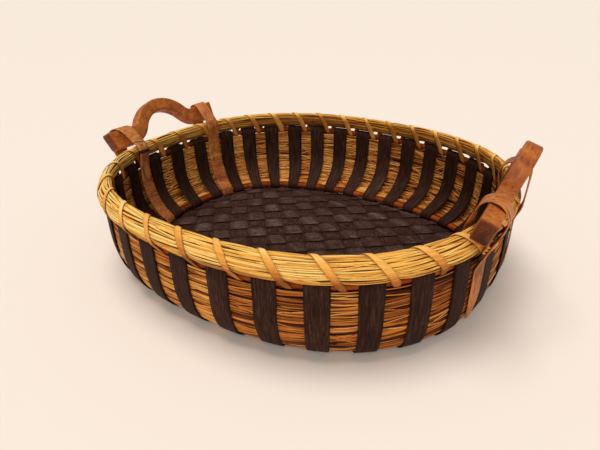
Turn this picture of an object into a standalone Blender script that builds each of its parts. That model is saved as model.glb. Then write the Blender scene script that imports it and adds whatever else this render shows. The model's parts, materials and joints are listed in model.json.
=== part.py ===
"""An oval basket tray of straw courses held between dark splint stakes.

Each stake is one splint bent like a hairpin: from the edge of the floor mat it climbs the outside of the straw wall,
passes over the top cane hoop and comes down the inside, over the bottom hoop, to stand on the mat. A bundle of straw
stems is the rim, and one flat strip winds round the rim and the top hoop, once in each space between two stakes. A bent
wood handle stands on each end of the rim, and two straps loop over each handle's feet and run down both sides of the
wall, where the stakes leave them room.

Metres, +Z up. The origin is on the ground under the middle of the tray, X runs along its length, and the front is -Y.
"""

import functools
import math
from typing import NamedTuple

import bmesh
import bpy
import numpy as np
from mathutils import Matrix, Vector
from mathutils.kdtree import KDTree

# Gaps
CLEARANCE = 0.0003  # between pieces that touch
GROUND_GAP = 0.0004  # under the stakes, so that the tray stands on its mat

# Rim
RIM_LENGTH = 0.430  # between the bundle's centre lines, end to end
RIM_WIDTH = 0.387
RIM_POWER = 2.35  # 2 is an ellipse, more is squarer
BUNDLE_DEPTH = 0.0215  # of the straw bundle's flat section
BUNDLE_THICKNESS = 0.0118
BUNDLE_TILT = math.radians(30)  # of the section's long side, its lower end outwards
BUNDLE_STEMS = 8  # stems that show round the bundle
BUNDLE_FLUTE = 0.0007  # depth of the grooves between them

# Wall
STRAW_THICKNESS = 0.0070
WALL_TOP = 0.0741
COURSE_COUNT = 7
COURSE_GROOVE = 0.0009
WALL_INSET = 0.0015  # of the wall's middle from the rim's centre line, at the top
END_TUCK = 0.0210  # how far the foot of the wall is drawn in at the ends, on average
SIDE_TUCK = 0.0425  # and at the long sides
FOOT_SHIFT = 0.0060  # of the whole foot towards the right end
TUCK_POWER = 3.5  # more keeps the wall upright for longer
HOOP_DIAMETER = 0.0070

# Stakes
STAKE_RUNS = (2, 15, 3, 13)  # how many between two straps, from the right handle's own round by the back
STAKE_WIDTH = 0.0200
STAKE_THICKNESS = 0.0016
BRIDGE_SHARE = 0.32  # of the wall's length, from its foot up, that the inside of a stake spans in a straight line
STAKE_PLAY = 0.0003  # more room than the clearance, for the wall's curve

# Lashing
LASHING_WIDTH = 0.0058
LASHING_THICKNESS = 0.0009
LASHING_GAP = 0.0007  # to what it binds
LASHING_STEPS = 14  # points in each turn
LASHING_PAUSE_SHARE = 0.45  # how much less it advances under the hoop than it would at an even rate
LASHING_OPEN_SHARE = 0.25  # of a turn that stays open between its two ends

# Handles
HANDLE_LENGTH = 0.178
HANDLE_THICKNESS = 0.0150
HANDLE_FOOT_HEIGHT = 0.0220
HANDLE_ARCH_DEPTH = 0.0160
HANDLE_FILLET = 0.018  # radius of the bend where a foot rises
HANDLE_EDGE = 0.0018  # rounding along its edges
HANDLE_END_SLANT = 0.004  # how much further the top of an end reaches


class Handle(NamedTuple):
    """What differs between the two handles, which are carved by hand."""

    share: float  # of the way round the rim, counter-clockwise from the right end, to its middle
    strap_reach: float  # from its middle along the rim to each strap
    half_span: float  # from its middle to where a foot starts to rise
    rise: float  # of the arch's middle line above the feet's
    outboard: float  # of the feet's middle line from the rim's centre line
    lean: float  # outwards
    turn: float  # seen from above


HANDLES = {
    "right": Handle(
        share=0.001,
        strap_reach=0.281 * HANDLE_LENGTH,
        half_span=0.247 * HANDLE_LENGTH,
        rise=0.219 * HANDLE_LENGTH,
        outboard=0.0,
        lean=math.radians(20),
        turn=math.radians(6),
    ),
    "left": Handle(
        share=0.502,
        strap_reach=0.3595 * HANDLE_LENGTH,
        half_span=0.292 * HANDLE_LENGTH,
        rise=0.1545 * HANDLE_LENGTH,
        outboard=0.028 * RIM_LENGTH,
        lean=math.radians(28),
        turn=math.radians(3),
    ),
}

# Straps
STRAP_WIDTH = 0.0160
STRAP_THICKNESS = 0.0018
STRAP_ROOM = 0.0230  # from a strap's middle to the middle of the next stake
STRAP_END_HEIGHT = 0.014  # of the wall's middle, where the outer end stops
STRAP_SPREAD = math.radians(25)  # of the straight run from the rim down to the outside of the wall

COLOURS = {
    "straw": ((0.62, 0.38, 0.13), 0.62),
    "rim straw": ((0.74, 0.50, 0.20), 0.58),
    "lashing": ((0.80, 0.56, 0.22), 0.50),
    "cane": ((0.55, 0.24, 0.08), 0.48),
    "dark splint": ((0.085, 0.045, 0.036), 0.66),
    "handle wood": ((0.36, 0.15, 0.06), 0.50),
    "strap wood": ((0.44, 0.21, 0.09), 0.56),
}


def rim_table(samples=2880):
    """The rim's centre line as shares of its length, with a point and an outward normal for each, and its length."""
    angle = np.linspace(0, 2 * math.pi, samples + 1)
    half_length, half_width = RIM_LENGTH / 2, RIM_WIDTH / 2
    cosine, sine = np.cos(angle), np.sin(angle)
    radius = (np.abs(cosine / half_length) ** RIM_POWER + np.abs(sine / half_width) ** RIM_POWER) ** (-1 / RIM_POWER)
    x, y = radius * cosine, radius * sine
    slope_x = np.sign(x) * np.abs(x / half_length) ** (RIM_POWER - 1) / half_length
    slope_y = np.sign(y) * np.abs(y / half_width) ** (RIM_POWER - 1) / half_width
    steepness = np.hypot(slope_x, slope_y)
    walked = np.concatenate([[0], np.cumsum(np.hypot(np.diff(x), np.diff(y)))])
    return walked / walked[-1], x, y, slope_x / steepness, slope_y / steepness, walked[-1]


RIM_SHARES, RIM_X, RIM_Y, RIM_NORMAL_X, RIM_NORMAL_Y, RIM_ROUND = rim_table()
RADIUS = {"hoop": HOOP_DIAMETER / 2, "crown": HOOP_DIAMETER / 2 + CLEARANCE + STAKE_PLAY + STAKE_THICKNESS}

# Heights, from the ground up
LOW_HOOP_HEIGHT = GROUND_GAP + STAKE_THICKNESS + STAKE_PLAY + CLEARANCE + RADIUS["hoop"]
FLOOR_TOP = LOW_HOOP_HEIGHT - RADIUS["hoop"] - CLEARANCE
TOP_HOOP_HEIGHT = WALL_TOP + CLEARANCE + LASHING_THICKNESS + LASHING_GAP + RADIUS["hoop"]


def walk(share):
    """The rim's point and outward normal at a share of the way round, counter-clockwise from the right end."""
    share = share % 1
    values = [np.interp(share, RIM_SHARES, row) for row in (RIM_X, RIM_Y, RIM_NORMAL_X, RIM_NORMAL_Y)]
    size = math.hypot(values[2], values[3])
    return values[0], values[1], values[2] / size, values[3] / size


def place(share, offset, height):
    """A point at an offset outwards from the rim's centre line, and at a height."""
    x, y, normal_x, normal_y = walk(share)
    return Vector((x + normal_x * offset, y + normal_y * offset, height))


def strap_share(handle, side):
    """How far round the rim a strap lies, on one side of its handle's middle or the other."""
    return handle.share + side * handle.strap_reach / RIM_ROUND


def stake_shares():
    """How far round the rim each stake stands: evenly spread in every run between two straps."""
    straps = [strap_share(HANDLES[name], side) for name in ("right", "left") for side in (-1, 1)]
    room = STRAP_ROOM / RIM_ROUND
    shares = []
    for start, end, count in zip(straps, straps[1:] + [straps[0] + 1], STAKE_RUNS):
        shares += [float(share) for share in np.linspace(start + room, end - room, count)]
    return shares


STAKES = stake_shares()


def stake_share(index):
    """The same by number, also between two stakes or past the last one, where the next round starts."""
    rounds, rest = divmod(index, len(STAKES))
    return rounds + float(np.interp(rest, range(len(STAKES) + 1), STAKES + [STAKES[0] + 1]))


def edge_shares():
    """The shares of both edges of every stake, in order round the rim."""
    half = STAKE_WIDTH / 2 / RIM_ROUND
    return [share + side * half for share in STAKES for side in (-1, 1)]


def bundle_point(angle, groove=0.0, grow=0.0):
    """A point and its normal on the bundle's tilted oval section, as (outwards, upwards) from its middle."""
    half_depth, half_thickness = BUNDLE_DEPTH / 2 - groove, BUNDLE_THICKNESS / 2 - groove
    along, across = half_depth * math.cos(angle), half_thickness * math.sin(angle)
    normal = Vector((math.cos(angle) / half_depth, math.sin(angle) / half_thickness)).normalized()
    turned = Matrix.Rotation(math.pi / 2 + BUNDLE_TILT, 2)
    return turned @ (Vector((along, across)) + normal * grow), turned @ normal


def rim_height():
    """The lowest height of the bundle's middle at which it clears the stakes' crowns over the top hoop."""
    reach = RADIUS["crown"] + CLEARANCE
    heights = []
    for step in range(360):
        point, _ = bundle_point(math.radians(step))
        aside = point.x + WALL_INSET
        if abs(aside) < reach:
            heights.append(TOP_HOOP_HEIGHT + math.sqrt(reach**2 - aside**2) - point.y)
    return max(heights)


RIM_HEIGHT = rim_height()


@functools.lru_cache(maxsize=None)
def profile(share):
    """The wall's middle line from the low hoop to the top one: offsets, heights, outward normals, and how far along
    each point lies, by length and by length and bend alike."""
    _, _, normal_x, normal_y = walk(share)
    tuck = END_TUCK * normal_x**2 + SIDE_TUCK * normal_y**2 - FOOT_SHIFT * normal_x
    turn = np.linspace(math.pi / 2, 0, 400)
    upright = TOP_HOOP_HEIGHT - LOW_HOOP_HEIGHT
    offset = -WALL_INSET - tuck * (1 - np.cos(turn).clip(0) ** (2 / TUCK_POWER))
    height = TOP_HOOP_HEIGHT - upright * np.sin(turn) ** (2 / TUCK_POWER)
    along = np.gradient(offset), np.gradient(height)
    steepness = np.hypot(*along)
    out, up = along[1] / steepness, -along[0] / steepness
    walked = np.concatenate([[0], np.cumsum(np.hypot(np.diff(offset), np.diff(height)))])
    bend = np.arctan2(along[1], along[0]) / (math.pi / 2)
    return offset, height, out, up, walked, (walked / walked[-1] + bend - bend[0]) / 2


def wall_point(share, walked, distance):
    """(offset, height) of a point square to the wall's middle line, at a distance outwards from it."""
    offset, height, out, up, lengths, _ = profile(share)
    values = [float(np.interp(walked, lengths, row)) for row in (offset, height, out, up)]
    return Vector(values[:2]) + Vector(values[2:]).normalized() * distance


def length_to(share, height):
    """The length along the wall's middle line from the low hoop up to a height."""
    _, heights, _, _, lengths, _ = profile(share)
    return float(np.interp(height, heights, lengths))


def leg_distance(thickness, spare):
    """From the wall's middle to the middle of a splint that lies on it."""
    return max(STRAW_THICKNESS, HOOP_DIAMETER) / 2 + CLEARANCE + spare + thickness / 2


def inner_leg(share, thickness, spare, shoulder):
    """The middle line of a splint on the inside, from the mat over the low hoop and up the wall to a height."""
    distance = leg_distance(thickness, spare)
    hoop = wall_point(share, 0, 0)
    top = length_to(share, shoulder)
    steps = 3
    lengths = [top * (BRIDGE_SHARE + (1 - BRIDGE_SHARE) * step / steps) for step in range(steps + 1)]
    rise = [wall_point(share, length, -distance) for length in lengths]
    reach = rise[0] - hoop
    leaves = math.atan2(reach.y, reach.x) + math.acos(distance / reach.length)
    bends = 2
    over = arc(hoop, distance, math.pi, leaves, bends)
    return [Vector((over[0].x, FLOOR_TOP + CLEARANCE))] + over + rise


def outer_leg(share, thickness, spare, shoulder, end):
    """The middle line of a splint on the outside, from a height down to a length along the wall from the low hoop."""
    _, _, _, _, lengths, measure = profile(share)
    distance = leg_distance(thickness, spare)
    first, last = (float(np.interp(length, lengths, measure)) for length in (length_to(share, shoulder), end))
    steps = 7
    marks = [np.interp(first + (last - first) * step / steps, measure, lengths) for step in range(steps + 1)]
    return [wall_point(share, float(mark), distance) for mark in marks]


def arc(centre, radius, start, end, steps):
    turns = [start + (end - start) * step / steps for step in range(steps + 1)]
    return [centre + radius * Vector((math.cos(turn), math.sin(turn))) for turn in turns]


def stake_line(share):
    """A stake's middle line: over the low hoop, up the inside, over the top hoop, and down the outside to the mat."""
    shoulder = TOP_HOOP_HEIGHT - RADIUS["hoop"]
    inside = inner_leg(share, STAKE_THICKNESS, STAKE_PLAY, shoulder)
    outside = outer_leg(share, STAKE_THICKNESS, STAKE_PLAY, shoulder, 0)
    crown = arc(Vector((-WALL_INSET, TOP_HOOP_HEIGHT)), RADIUS["crown"] - STAKE_THICKNESS / 2, math.pi, 0, 4)
    return inside + crown + outside


def thickened(line, thickness):
    """Each point of a line moved half a thickness to its left and to its right."""
    pairs = []
    for index, point in enumerate(line):
        before = line[max(index - 1, 0)]
        after = line[min(index + 1, len(line) - 1)]
        back = (point - before).normalized() if index else (after - point).normalized()
        ahead = (after - point).normalized() if index < len(line) - 1 else back
        middle = (back + ahead).normalized()
        stretch = 1 / max(middle.dot(ahead), 0.5)
        side = Vector((-middle.y, middle.x)) * thickness / 2 * stretch
        pairs.append((point + side, point - side))
    return pairs


def new_mesh(name, build, material):
    """An object whose mesh a function fills, in the tray's collection."""
    form = bmesh.new()
    build(form)
    bmesh.ops.recalc_face_normals(form, faces=form.faces)
    mesh = bpy.data.meshes.new(name)
    form.to_mesh(mesh)
    form.free()
    return finished(bpy.data.objects.new(name, mesh), material)


def finished(obj, material, smooth_degrees=40):
    """Puts an object in the tray's collection with its material, shaded smooth where it is round."""
    TRAY.objects.link(obj)
    obj.data.materials.append(MATERIALS[material])
    if obj.type == "MESH":
        obj.data.shade_smooth()
        obj.data.set_sharp_from_angle(angle=math.radians(smooth_degrees))
    return obj


def loft(form, sections, ring=False):
    """Skins a row of sections of equal count. A ring joins the last section to the first, and a row gets end faces."""
    rows = [[form.verts.new(point) for point in section] for section in sections]
    count = len(rows[0])
    pairs = list(zip(rows, rows[1:]))
    if ring:
        pairs.append((rows[-1], rows[0]))
    for first, second in pairs:
        for index in range(count):
            after = (index + 1) % count
            form.faces.new((first[index], first[after], second[after], second[index]))
    if not ring:
        form.faces.new(rows[0])
        form.faces.new(reversed(rows[-1]))


def splint(name, share, width, thickness, line_at, material):
    """A flat splint that follows a line square to the rim, its two edges each fitted to the wall where they lie."""
    half = width / 2 / RIM_ROUND
    edges = [thickened(line_at(share + side * half), thickness) for side in (-1, 1)]
    sections = []
    for first, second in zip(*edges):
        sections.append(
            [
                place(share - half, *first[0]),
                place(share - half, *first[1]),
                place(share + half, *second[1]),
                place(share + half, *second[0]),
            ]
        )
    return new_mesh(name, lambda form: loft(form, sections), material)


def make_stakes():
    for number, share in enumerate(STAKES, 1):
        splint(f"stake_{number:02d}", share, STAKE_WIDTH, STAKE_THICKNESS, stake_line, "dark splint")


def make_straw_wall():
    """The courses of straw as one ribbed ring, its facets flat behind each stake."""
    half = STRAW_THICKNESS / 2
    steps = 2 * COURSE_COUNT

    def section(share):
        low, high = RADIUS["hoop"] + CLEARANCE, length_to(share, WALL_TOP)
        lengths = [low + (high - low) * step / steps for step in range(steps + 1)]
        reaches = [half if step % 2 else half - COURSE_GROOVE for step in range(steps + 1)]
        outside = [wall_point(share, length, reach) for length, reach in zip(lengths, reaches)]
        inside = [wall_point(share, length, -reach) for length, reach in zip(lengths, reaches)]
        return [place(share, *point) for point in outside + inside[::-1]]

    sections = [section(share) for share in edge_shares()]
    new_mesh("straw_wall", lambda form: loft(form, sections, ring=True), "straw")


def make_hoop(name, height):
    """A round cane bent to the wall's middle line at a height."""
    curve = bpy.data.curves.new(name, "CURVE")
    curve.dimensions = "3D"
    curve.bevel_depth = RADIUS["hoop"]
    curve.bevel_resolution = 1
    spline = curve.splines.new("POLY")
    shares = edge_shares()
    spline.points.add(len(shares) - 1)
    for point, share in zip(spline.points, shares):
        point.co = (*place(share, *wall_point(share, length_to(share, height), 0)), 1)
    spline.use_cyclic_u = True
    finished(bpy.data.objects.new(name, curve), "cane")


def make_rim_bundle():
    """The bundle of straw stems along the rim, its section an oval with a groove between stems."""

    def section(share):
        points = []
        for step in range(2 * BUNDLE_STEMS):
            groove = BUNDLE_FLUTE if step % 2 else 0
            point, _ = bundle_point(math.pi * step / BUNDLE_STEMS, groove)
            points.append(place(share, point.x, RIM_HEIGHT + point.y))
        return points

    shares = [stake_share(index / 2) for index in range(2 * len(STAKES))]
    sections = [section(share) for share in shares]
    new_mesh("rim_bundle", lambda form: loft(form, sections, ring=True), "rim straw")


def taut_point(direction, rounds):
    """The point of a taut band round some shapes where its outward normal has this direction, and that normal."""
    normal = Vector((math.cos(direction), math.sin(direction)))
    best = max(rounds, key=lambda shape: shape(normal).dot(normal))
    return best(normal), normal


def circle_shape(centre, radius):
    return lambda normal: centre + normal * radius


def bundle_shape(grow):
    """The support of the bundle's section, grown by a distance, as a function of the normal."""

    def point(normal):
        turned = Matrix.Rotation(-(math.pi / 2 + BUNDLE_TILT), 2) @ normal
        angle = math.atan2(BUNDLE_THICKNESS * turned.y, BUNDLE_DEPTH * turned.x)
        found, _ = bundle_point(angle)
        return found + Vector((0, RIM_HEIGHT)) + normal * grow

    return point


def lashing_outline():
    """One turn of the strip's middle line, from the top down the outside: its points and normals, how far along each
    lies as a share of the turn's length, and the same as a share of length and bend alike, which the steps follow."""
    grow = LASHING_GAP + LASHING_THICKNESS / 2
    rounds = lashed_rounds(grow)
    bend = np.linspace(0, 1, 721)
    traced = [taut_point(math.pi / 2 - 2 * math.pi * turned, rounds) for turned in bend]
    points = np.array([tuple(point) for point, _ in traced])
    normals = np.array([tuple(normal) for _, normal in traced])
    walked = np.concatenate([[0], np.cumsum(np.hypot(*np.diff(points, axis=0).T))])
    length = walked / walked[-1]
    return points, normals, length, (length + bend) / 2, walked[-1]


def make_rim_lashing():
    """One flat strip wound round the rim and the top hoop, a turn for each space between two stakes."""
    points, normals, length, measure, turn_length = lashing_outline()
    bottom = int(np.argmin(points[:, 1]))
    turns = len(STAKES) - LASHING_OPEN_SHARE
    steps = round(turns * LASHING_STEPS)
    begin = measure[bottom] + LASHING_OPEN_SHARE / 2

    def read(turn, rows):
        return float(np.interp(turn % 1, measure, rows))

    def wound(turn):
        """The turns wound by a moment, by length, with zero under the hoop."""
        return math.floor(turn) + read(turn, length) - length[bottom]

    def round_share(turn):
        """How far round the rim a moment lies. Under the hoop it is level with the middle of a space."""
        wave = math.sin(2 * math.pi * wound(turn)) / (2 * math.pi)
        return stake_share(wound(turn) - LASHING_PAUSE_SHARE * wave + 0.5)

    def surface(turn, aside, lift):
        normal = Vector([read(turn, normals[:, axis]) for axis in (0, 1)]).normalized()
        point = Vector([read(turn, points[:, axis]) for axis in (0, 1)]) + normal * lift
        return place(round_share(turn) + aside / RIM_ROUND, *point)

    sections = []
    middles = []
    for step in range(steps + 1):
        turn = begin + turns * step / steps
        nudge = 1 / 1000
        run = (round_share(turn + nudge) - round_share(turn - nudge)) * RIM_ROUND
        drop = (wound(turn + nudge) - wound(turn - nudge)) * turn_length
        aside = LASHING_WIDTH / 2 * math.hypot(run, drop) / drop
        half = LASHING_THICKNESS / 2
        corners = [(aside, half), (aside, -half), (-aside, -half), (-aside, half)]
        sections.append([surface(turn, *corner) for corner in corners])
        middles.append(surface(turn, 0, 0))
    new_mesh("rim_lashing", lambda form: loft(form, sections), "lashing")
    report_self_gap(middles)


def report_self_gap(middles):
    """Prints the least distance between neighbouring turns of the strip, edge to edge."""
    tree = KDTree(len(middles))
    for index, point in enumerate(middles):
        tree.insert(point, index)
    tree.balance()
    least = RIM_LENGTH
    for index, point in enumerate(middles):
        for _, other, distance in tree.find_range(point, RIM_LENGTH / len(STAKES) * 2):
            if abs(other - index) > LASHING_STEPS / 2:
                least = min(least, distance)
    print(f"rim_lashing: least gap between turns {(least - LASHING_WIDTH) * 1000:.1f} mm")


def handle_outline(rise, half_span):
    """A handle's side view as (along, up) from the middle of its feet's line: two straight feet and an arch."""
    bend = 2 * math.atan(rise / half_span)
    radius = half_span / math.sin(bend) - HANDLE_FILLET
    fillet_centre = Vector((half_span, HANDLE_FILLET))
    arch_centre = Vector((0, rise - radius))
    half_foot, half_arch = HANDLE_FOOT_HEIGHT / 2, HANDLE_ARCH_DEPTH / 2
    half_length = HANDLE_LENGTH / 2
    down, up = -math.pi / 2, math.pi / 2
    foot_top = [Vector((half_length, half_foot)), Vector((half_span, half_foot))]
    foot_under = [Vector((half_span, -half_foot)), Vector((half_length - HANDLE_END_SLANT, -half_foot))]
    upper = arc(fillet_centre, HANDLE_FILLET - half_arch, down, down - bend, 4)
    lower = arc(fillet_centre, HANDLE_FILLET + half_arch, down - bend, down, 4)
    outer = arc(arch_centre, radius + half_arch, up - bend, up, 6)
    inner = arc(arch_centre, radius - half_arch, up, up - bend, 6)
    right = foot_top + upper[1:] + outer[1:]
    under = inner[:-1] + lower[:-1] + foot_under
    mirrored = [[Vector((-point.x, point.y)) for point in reversed(half)] for half in (right[:-1], under[1:])]
    return right + mirrored[0] + mirrored[1] + under


def extruded(name, outline, thickness):
    """A mesh of a flat outline, drawn in the object's XY plane and extruded evenly to both sides of it."""
    curve = bpy.data.curves.new(name, "CURVE")
    curve.dimensions = "2D"
    curve.fill_mode = "BOTH"
    curve.extrude = thickness / 2
    spline = curve.splines.new("POLY")
    spline.points.add(len(outline) - 1)
    for point, corner in zip(spline.points, outline):
        point.co = (*corner, 0, 1)
    spline.use_cyclic_u = True
    guide = bpy.data.objects.new(name, curve)
    bpy.context.scene.collection.objects.link(guide)
    graph = bpy.context.evaluated_depsgraph_get()
    mesh = bpy.data.meshes.new_from_object(guide.evaluated_get(graph))
    bpy.data.objects.remove(guide)
    bpy.data.curves.remove(curve)
    form = bmesh.new()
    form.from_mesh(mesh)
    bmesh.ops.remove_doubles(form, verts=form.verts, dist=CLEARANCE / 10)
    bmesh.ops.dissolve_limit(form, angle_limit=math.radians(1), verts=form.verts, edges=form.edges)
    bmesh.ops.recalc_face_normals(form, faces=form.faces)
    form.to_mesh(mesh)
    form.free()
    return mesh


def lashed_rounds(grow):
    """The rim bundle and the top hoop, grown by a distance, as shapes for a band to pass over."""
    return [bundle_shape(grow), circle_shape(Vector((-WALL_INSET, TOP_HOOP_HEIGHT)), RADIUS["hoop"] + grow)]


def resting_height(offset, lean):
    """The height of a leaning foot's middle at which it just clears the lashing, at an offset from the rim."""
    rounds = lashed_rounds(LASHING_GAP + LASHING_THICKNESS + 2 * CLEARANCE)
    heights = []
    for degree in range(10, 171, 2):
        point, normal = taut_point(math.radians(degree), rounds)
        across = abs(normal.x * math.cos(lean) - normal.y * math.sin(lean)) * HANDLE_THICKNESS / 2
        upwards = abs(normal.x * math.sin(lean) + normal.y * math.cos(lean)) * HANDLE_FOOT_HEIGHT / 2
        heights.append((point.dot(normal) + across + upwards - offset * normal.x) / normal.y)
    return min(heights)


def handle_frame(handle):
    """The handle's place, its axes along the feet, up and outwards: it leans and stands on the lashed rim."""
    share = handle.share
    x, y, normal_x, normal_y = walk(share)
    turned = Matrix.Rotation(handle.turn, 3, "Z")
    outwards = turned @ Vector((normal_x, normal_y, 0))
    along = turned @ Vector((-normal_y, normal_x, 0))
    middle = Vector((x + normal_x * handle.outboard, y + normal_y * handle.outboard, 0))
    heights = []
    for step in range(-8, 9):
        reach = HANDLE_LENGTH / 2 * step / 8
        if abs(reach) >= handle.half_span - HANDLE_FILLET:
            offset = rim_offset(middle + along * reach, share)
            heights.append(resting_height(offset, handle.lean))
    axes = Matrix((along, Vector((0, 0, 1)), outwards)).transposed().to_4x4()
    lean = Matrix.Rotation(handle.lean, 4, "X")
    return Matrix.Translation(middle + Vector((0, 0, max(heights)))) @ axes @ lean


def rim_offset(point, near_share):
    """How far outside the rim's centre line a point lies, square to the line."""
    shares = [near_share + step / 600 for step in range(-75, 76)]
    share = min(shares, key=lambda at: (place(at, 0, 0) - point).length)
    x, y, normal_x, normal_y = walk(share)
    return (point.x - x) * normal_x + (point.y - y) * normal_y


def make_handle(side, handle):
    mesh = extruded(f"{side}_handle", handle_outline(handle.rise, handle.half_span), HANDLE_THICKNESS)
    obj = finished(bpy.data.objects.new(f"{side}_handle", mesh), "handle wood")
    obj.matrix_world = handle_frame(handle)
    bevel = obj.modifiers.new("soft edges", "BEVEL")
    bevel.width = HANDLE_EDGE
    bevel.segments = 1
    bevel.limit_method = "ANGLE"
    bevel.angle_limit = math.radians(50)
    return obj


def foot_crossing(share, handle):
    """Where the feet's middle line crosses a strap's plane, as (offset, height), and how much the plane's slant
    stretches the foot's section."""
    frame = handle_frame(handle)
    start, along = frame.translation, frame.col[0].xyz
    x, y, normal_x, normal_y = walk(share)
    outwards = Vector((normal_x, normal_y, 0))
    sideways = Vector((-normal_y, normal_x, 0))
    rim = Vector((x, y, 0))
    crossing = start + along * (rim - start).dot(sideways) / along.dot(sideways)
    return Vector(((crossing - rim).dot(outwards), crossing.z)), 1 / abs(along.dot(sideways))


def strap_line(share, handle):
    """A strap's middle line: up the inside, taut over the rim and the handle's foot, and down the outside."""
    spare = LASHING_GAP + LASHING_THICKNESS
    corner = math.hypot(HANDLE_FOOT_HEIGHT, HANDLE_THICKNESS) / 2 - HANDLE_EDGE / 2
    crossing, stretch = foot_crossing(share, handle)
    rounds = lashed_rounds(2 * LASHING_GAP + LASHING_THICKNESS + CLEARANCE + STRAP_THICKNESS / 2)
    rounds.append(circle_shape(crossing, corner * stretch + CLEARANCE + STRAP_THICKNESS / 2))
    steps = 20
    start, sweep = math.pi + STRAP_SPREAD, math.pi + 2 * STRAP_SPREAD
    over = [taut_point(start - sweep * step / steps, rounds)[0] for step in range(steps + 1)]
    distance = leg_distance(STRAP_THICKNESS, spare)
    fall = 1 / math.tan(STRAP_SPREAD)
    inner_shoulder = over[0].y - max(0, -distance - WALL_INSET - over[0].x) * fall
    outer_shoulder = over[-1].y - max(0, over[-1].x - distance + WALL_INSET) * fall
    inside = inner_leg(share, STRAP_THICKNESS, spare, inner_shoulder)
    outside = outer_leg(share, STRAP_THICKNESS, spare, outer_shoulder, length_to(share, STRAP_END_HEIGHT))
    return inside + over + outside


def make_straps(side, handle):
    """The two straps of a handle, each in the middle of a space between stakes."""
    for away in (-1, 1):
        share = strap_share(handle, away)
        end = "back" if walk(share)[1] > 0 else "front"
        splint(
            f"{side}_{end}_strap",
            share,
            STRAP_WIDTH,
            STRAP_THICKNESS,
            lambda at: strap_line(at, handle),
            "strap wood",
        )


def make_floor_mat():
    """The woven mat as a flat oval sheet on the ground, with the low hoop on its edge and the stakes' ends round it."""
    outline = [place(share, wall_point(share, 0, 0).x - CLEARANCE, 0).xy for share in edge_shares()]
    mesh = extruded("floor_mat", outline, FLOOR_TOP)
    obj = finished(bpy.data.objects.new("floor_mat", mesh), "dark splint")
    obj.location.z = FLOOR_TOP / 2


def new_material(name, colour, roughness):
    material = bpy.data.materials.new(name)
    material.use_nodes = True
    shader = material.node_tree.nodes["Principled BSDF"]
    shader.inputs["Base Color"].default_value = (*colour, 1)
    shader.inputs["Roughness"].default_value = roughness
    shader.inputs["Metallic"].default_value = 0
    return material


def main():
    make_floor_mat()
    make_straw_wall()
    make_hoop("bottom_hoop", LOW_HOOP_HEIGHT)
    make_hoop("top_hoop", TOP_HOOP_HEIGHT)
    make_rim_bundle()
    make_rim_lashing()
    make_stakes()
    for side, handle in HANDLES.items():
        make_handle(side, handle)
        make_straps(side, handle)


for old in list(bpy.data.objects):
    bpy.data.objects.remove(old)
TRAY = bpy.data.collections.new("oval basket tray")
bpy.context.scene.collection.children.link(TRAY)
MATERIALS = {name: new_material(name, *look) for name, look in COLOURS.items()}
main()
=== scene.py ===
"""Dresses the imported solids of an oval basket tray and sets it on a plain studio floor.

The tray is a wall of stacked straws held between dark splint stakes, with a lashed bundle of straw for a
rim, a floor woven from wide splints, and two bent wood handles that stand on the rim under looped straps.
All lengths are metres, +Z is up, and the origin is on the ground under the middle of the rim, as in the
solids. A flat point is an offset outwards from the rim's centre line and a height.
"""

from __future__ import annotations

import json
import logging
import math
from dataclasses import dataclass, field
from enum import Enum
from functools import cached_property, partial
from typing import Callable, Iterator, Mapping, Sequence, Union

import bpy
import numpy as np
from mathutils import Matrix, Vector

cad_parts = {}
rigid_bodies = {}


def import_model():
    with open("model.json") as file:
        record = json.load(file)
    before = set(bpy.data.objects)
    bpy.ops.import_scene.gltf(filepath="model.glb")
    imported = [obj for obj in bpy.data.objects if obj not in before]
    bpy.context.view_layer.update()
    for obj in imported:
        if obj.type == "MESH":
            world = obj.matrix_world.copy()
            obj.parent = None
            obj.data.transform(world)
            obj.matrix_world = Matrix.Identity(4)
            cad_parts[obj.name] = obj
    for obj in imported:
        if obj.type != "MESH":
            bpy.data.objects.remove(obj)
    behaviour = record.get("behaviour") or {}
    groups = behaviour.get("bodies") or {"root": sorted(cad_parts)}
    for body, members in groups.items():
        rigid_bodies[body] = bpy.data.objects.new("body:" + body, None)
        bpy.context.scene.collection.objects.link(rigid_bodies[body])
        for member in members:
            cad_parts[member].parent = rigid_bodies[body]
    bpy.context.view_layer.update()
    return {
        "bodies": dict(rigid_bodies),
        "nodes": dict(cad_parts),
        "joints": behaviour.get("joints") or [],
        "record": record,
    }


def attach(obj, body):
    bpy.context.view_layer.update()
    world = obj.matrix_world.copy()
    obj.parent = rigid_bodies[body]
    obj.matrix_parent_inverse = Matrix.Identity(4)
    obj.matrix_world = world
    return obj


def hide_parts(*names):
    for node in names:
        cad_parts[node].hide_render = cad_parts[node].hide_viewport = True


LOG = logging.getLogger("basket tray")
TURN = 2 * math.pi
GRAIN_MAP = "grain"
SHADE = "shade"
# Mesh attribute of painted shade: how much darker a point is drawn where it lies deep between strands or at a
# strip's edge
PAINTED_SHADE = "depth"

Colour = tuple[float, float, float]
Values = Union[float, np.ndarray]
Number = Union[float, "Wire"]


class Slot(Enum):
    """The record's material slots."""

    FLOOR = "floor_splint"
    STRAW = "wall_straw"
    CANE = "cane"
    RIM = "rim_straw"
    LASHING = "lashing_strip"
    SPLINT = "dark_splint"
    HANDLE = "handle_wood"
    STRAP = "strap_wood"


class Face(Enum):
    """Which side of the wall a straw shows on."""

    INSIDE = -1
    OUTSIDE = 1


def sway(rng: np.random.Generator, share: np.ndarray, waves: int, first: int = 1) -> np.ndarray:
    """Smooth random swings that join up after one round.

    Args:
        rng: the source of the random phases.
        share: where to read them, in rounds.
        waves: how many waves are added up.
        first: the waves in a round of the slowest one.

    Returns:
        The swings, mostly between -1 and 1.
    """
    rates = first + np.arange(waves)
    heights = rng.normal(size=waves) / np.sqrt(waves)
    phases = rng.uniform(0, TURN, waves)
    return (heights * np.sin(TURN * rates * share[..., None] + phases)).sum(axis=-1)


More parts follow.
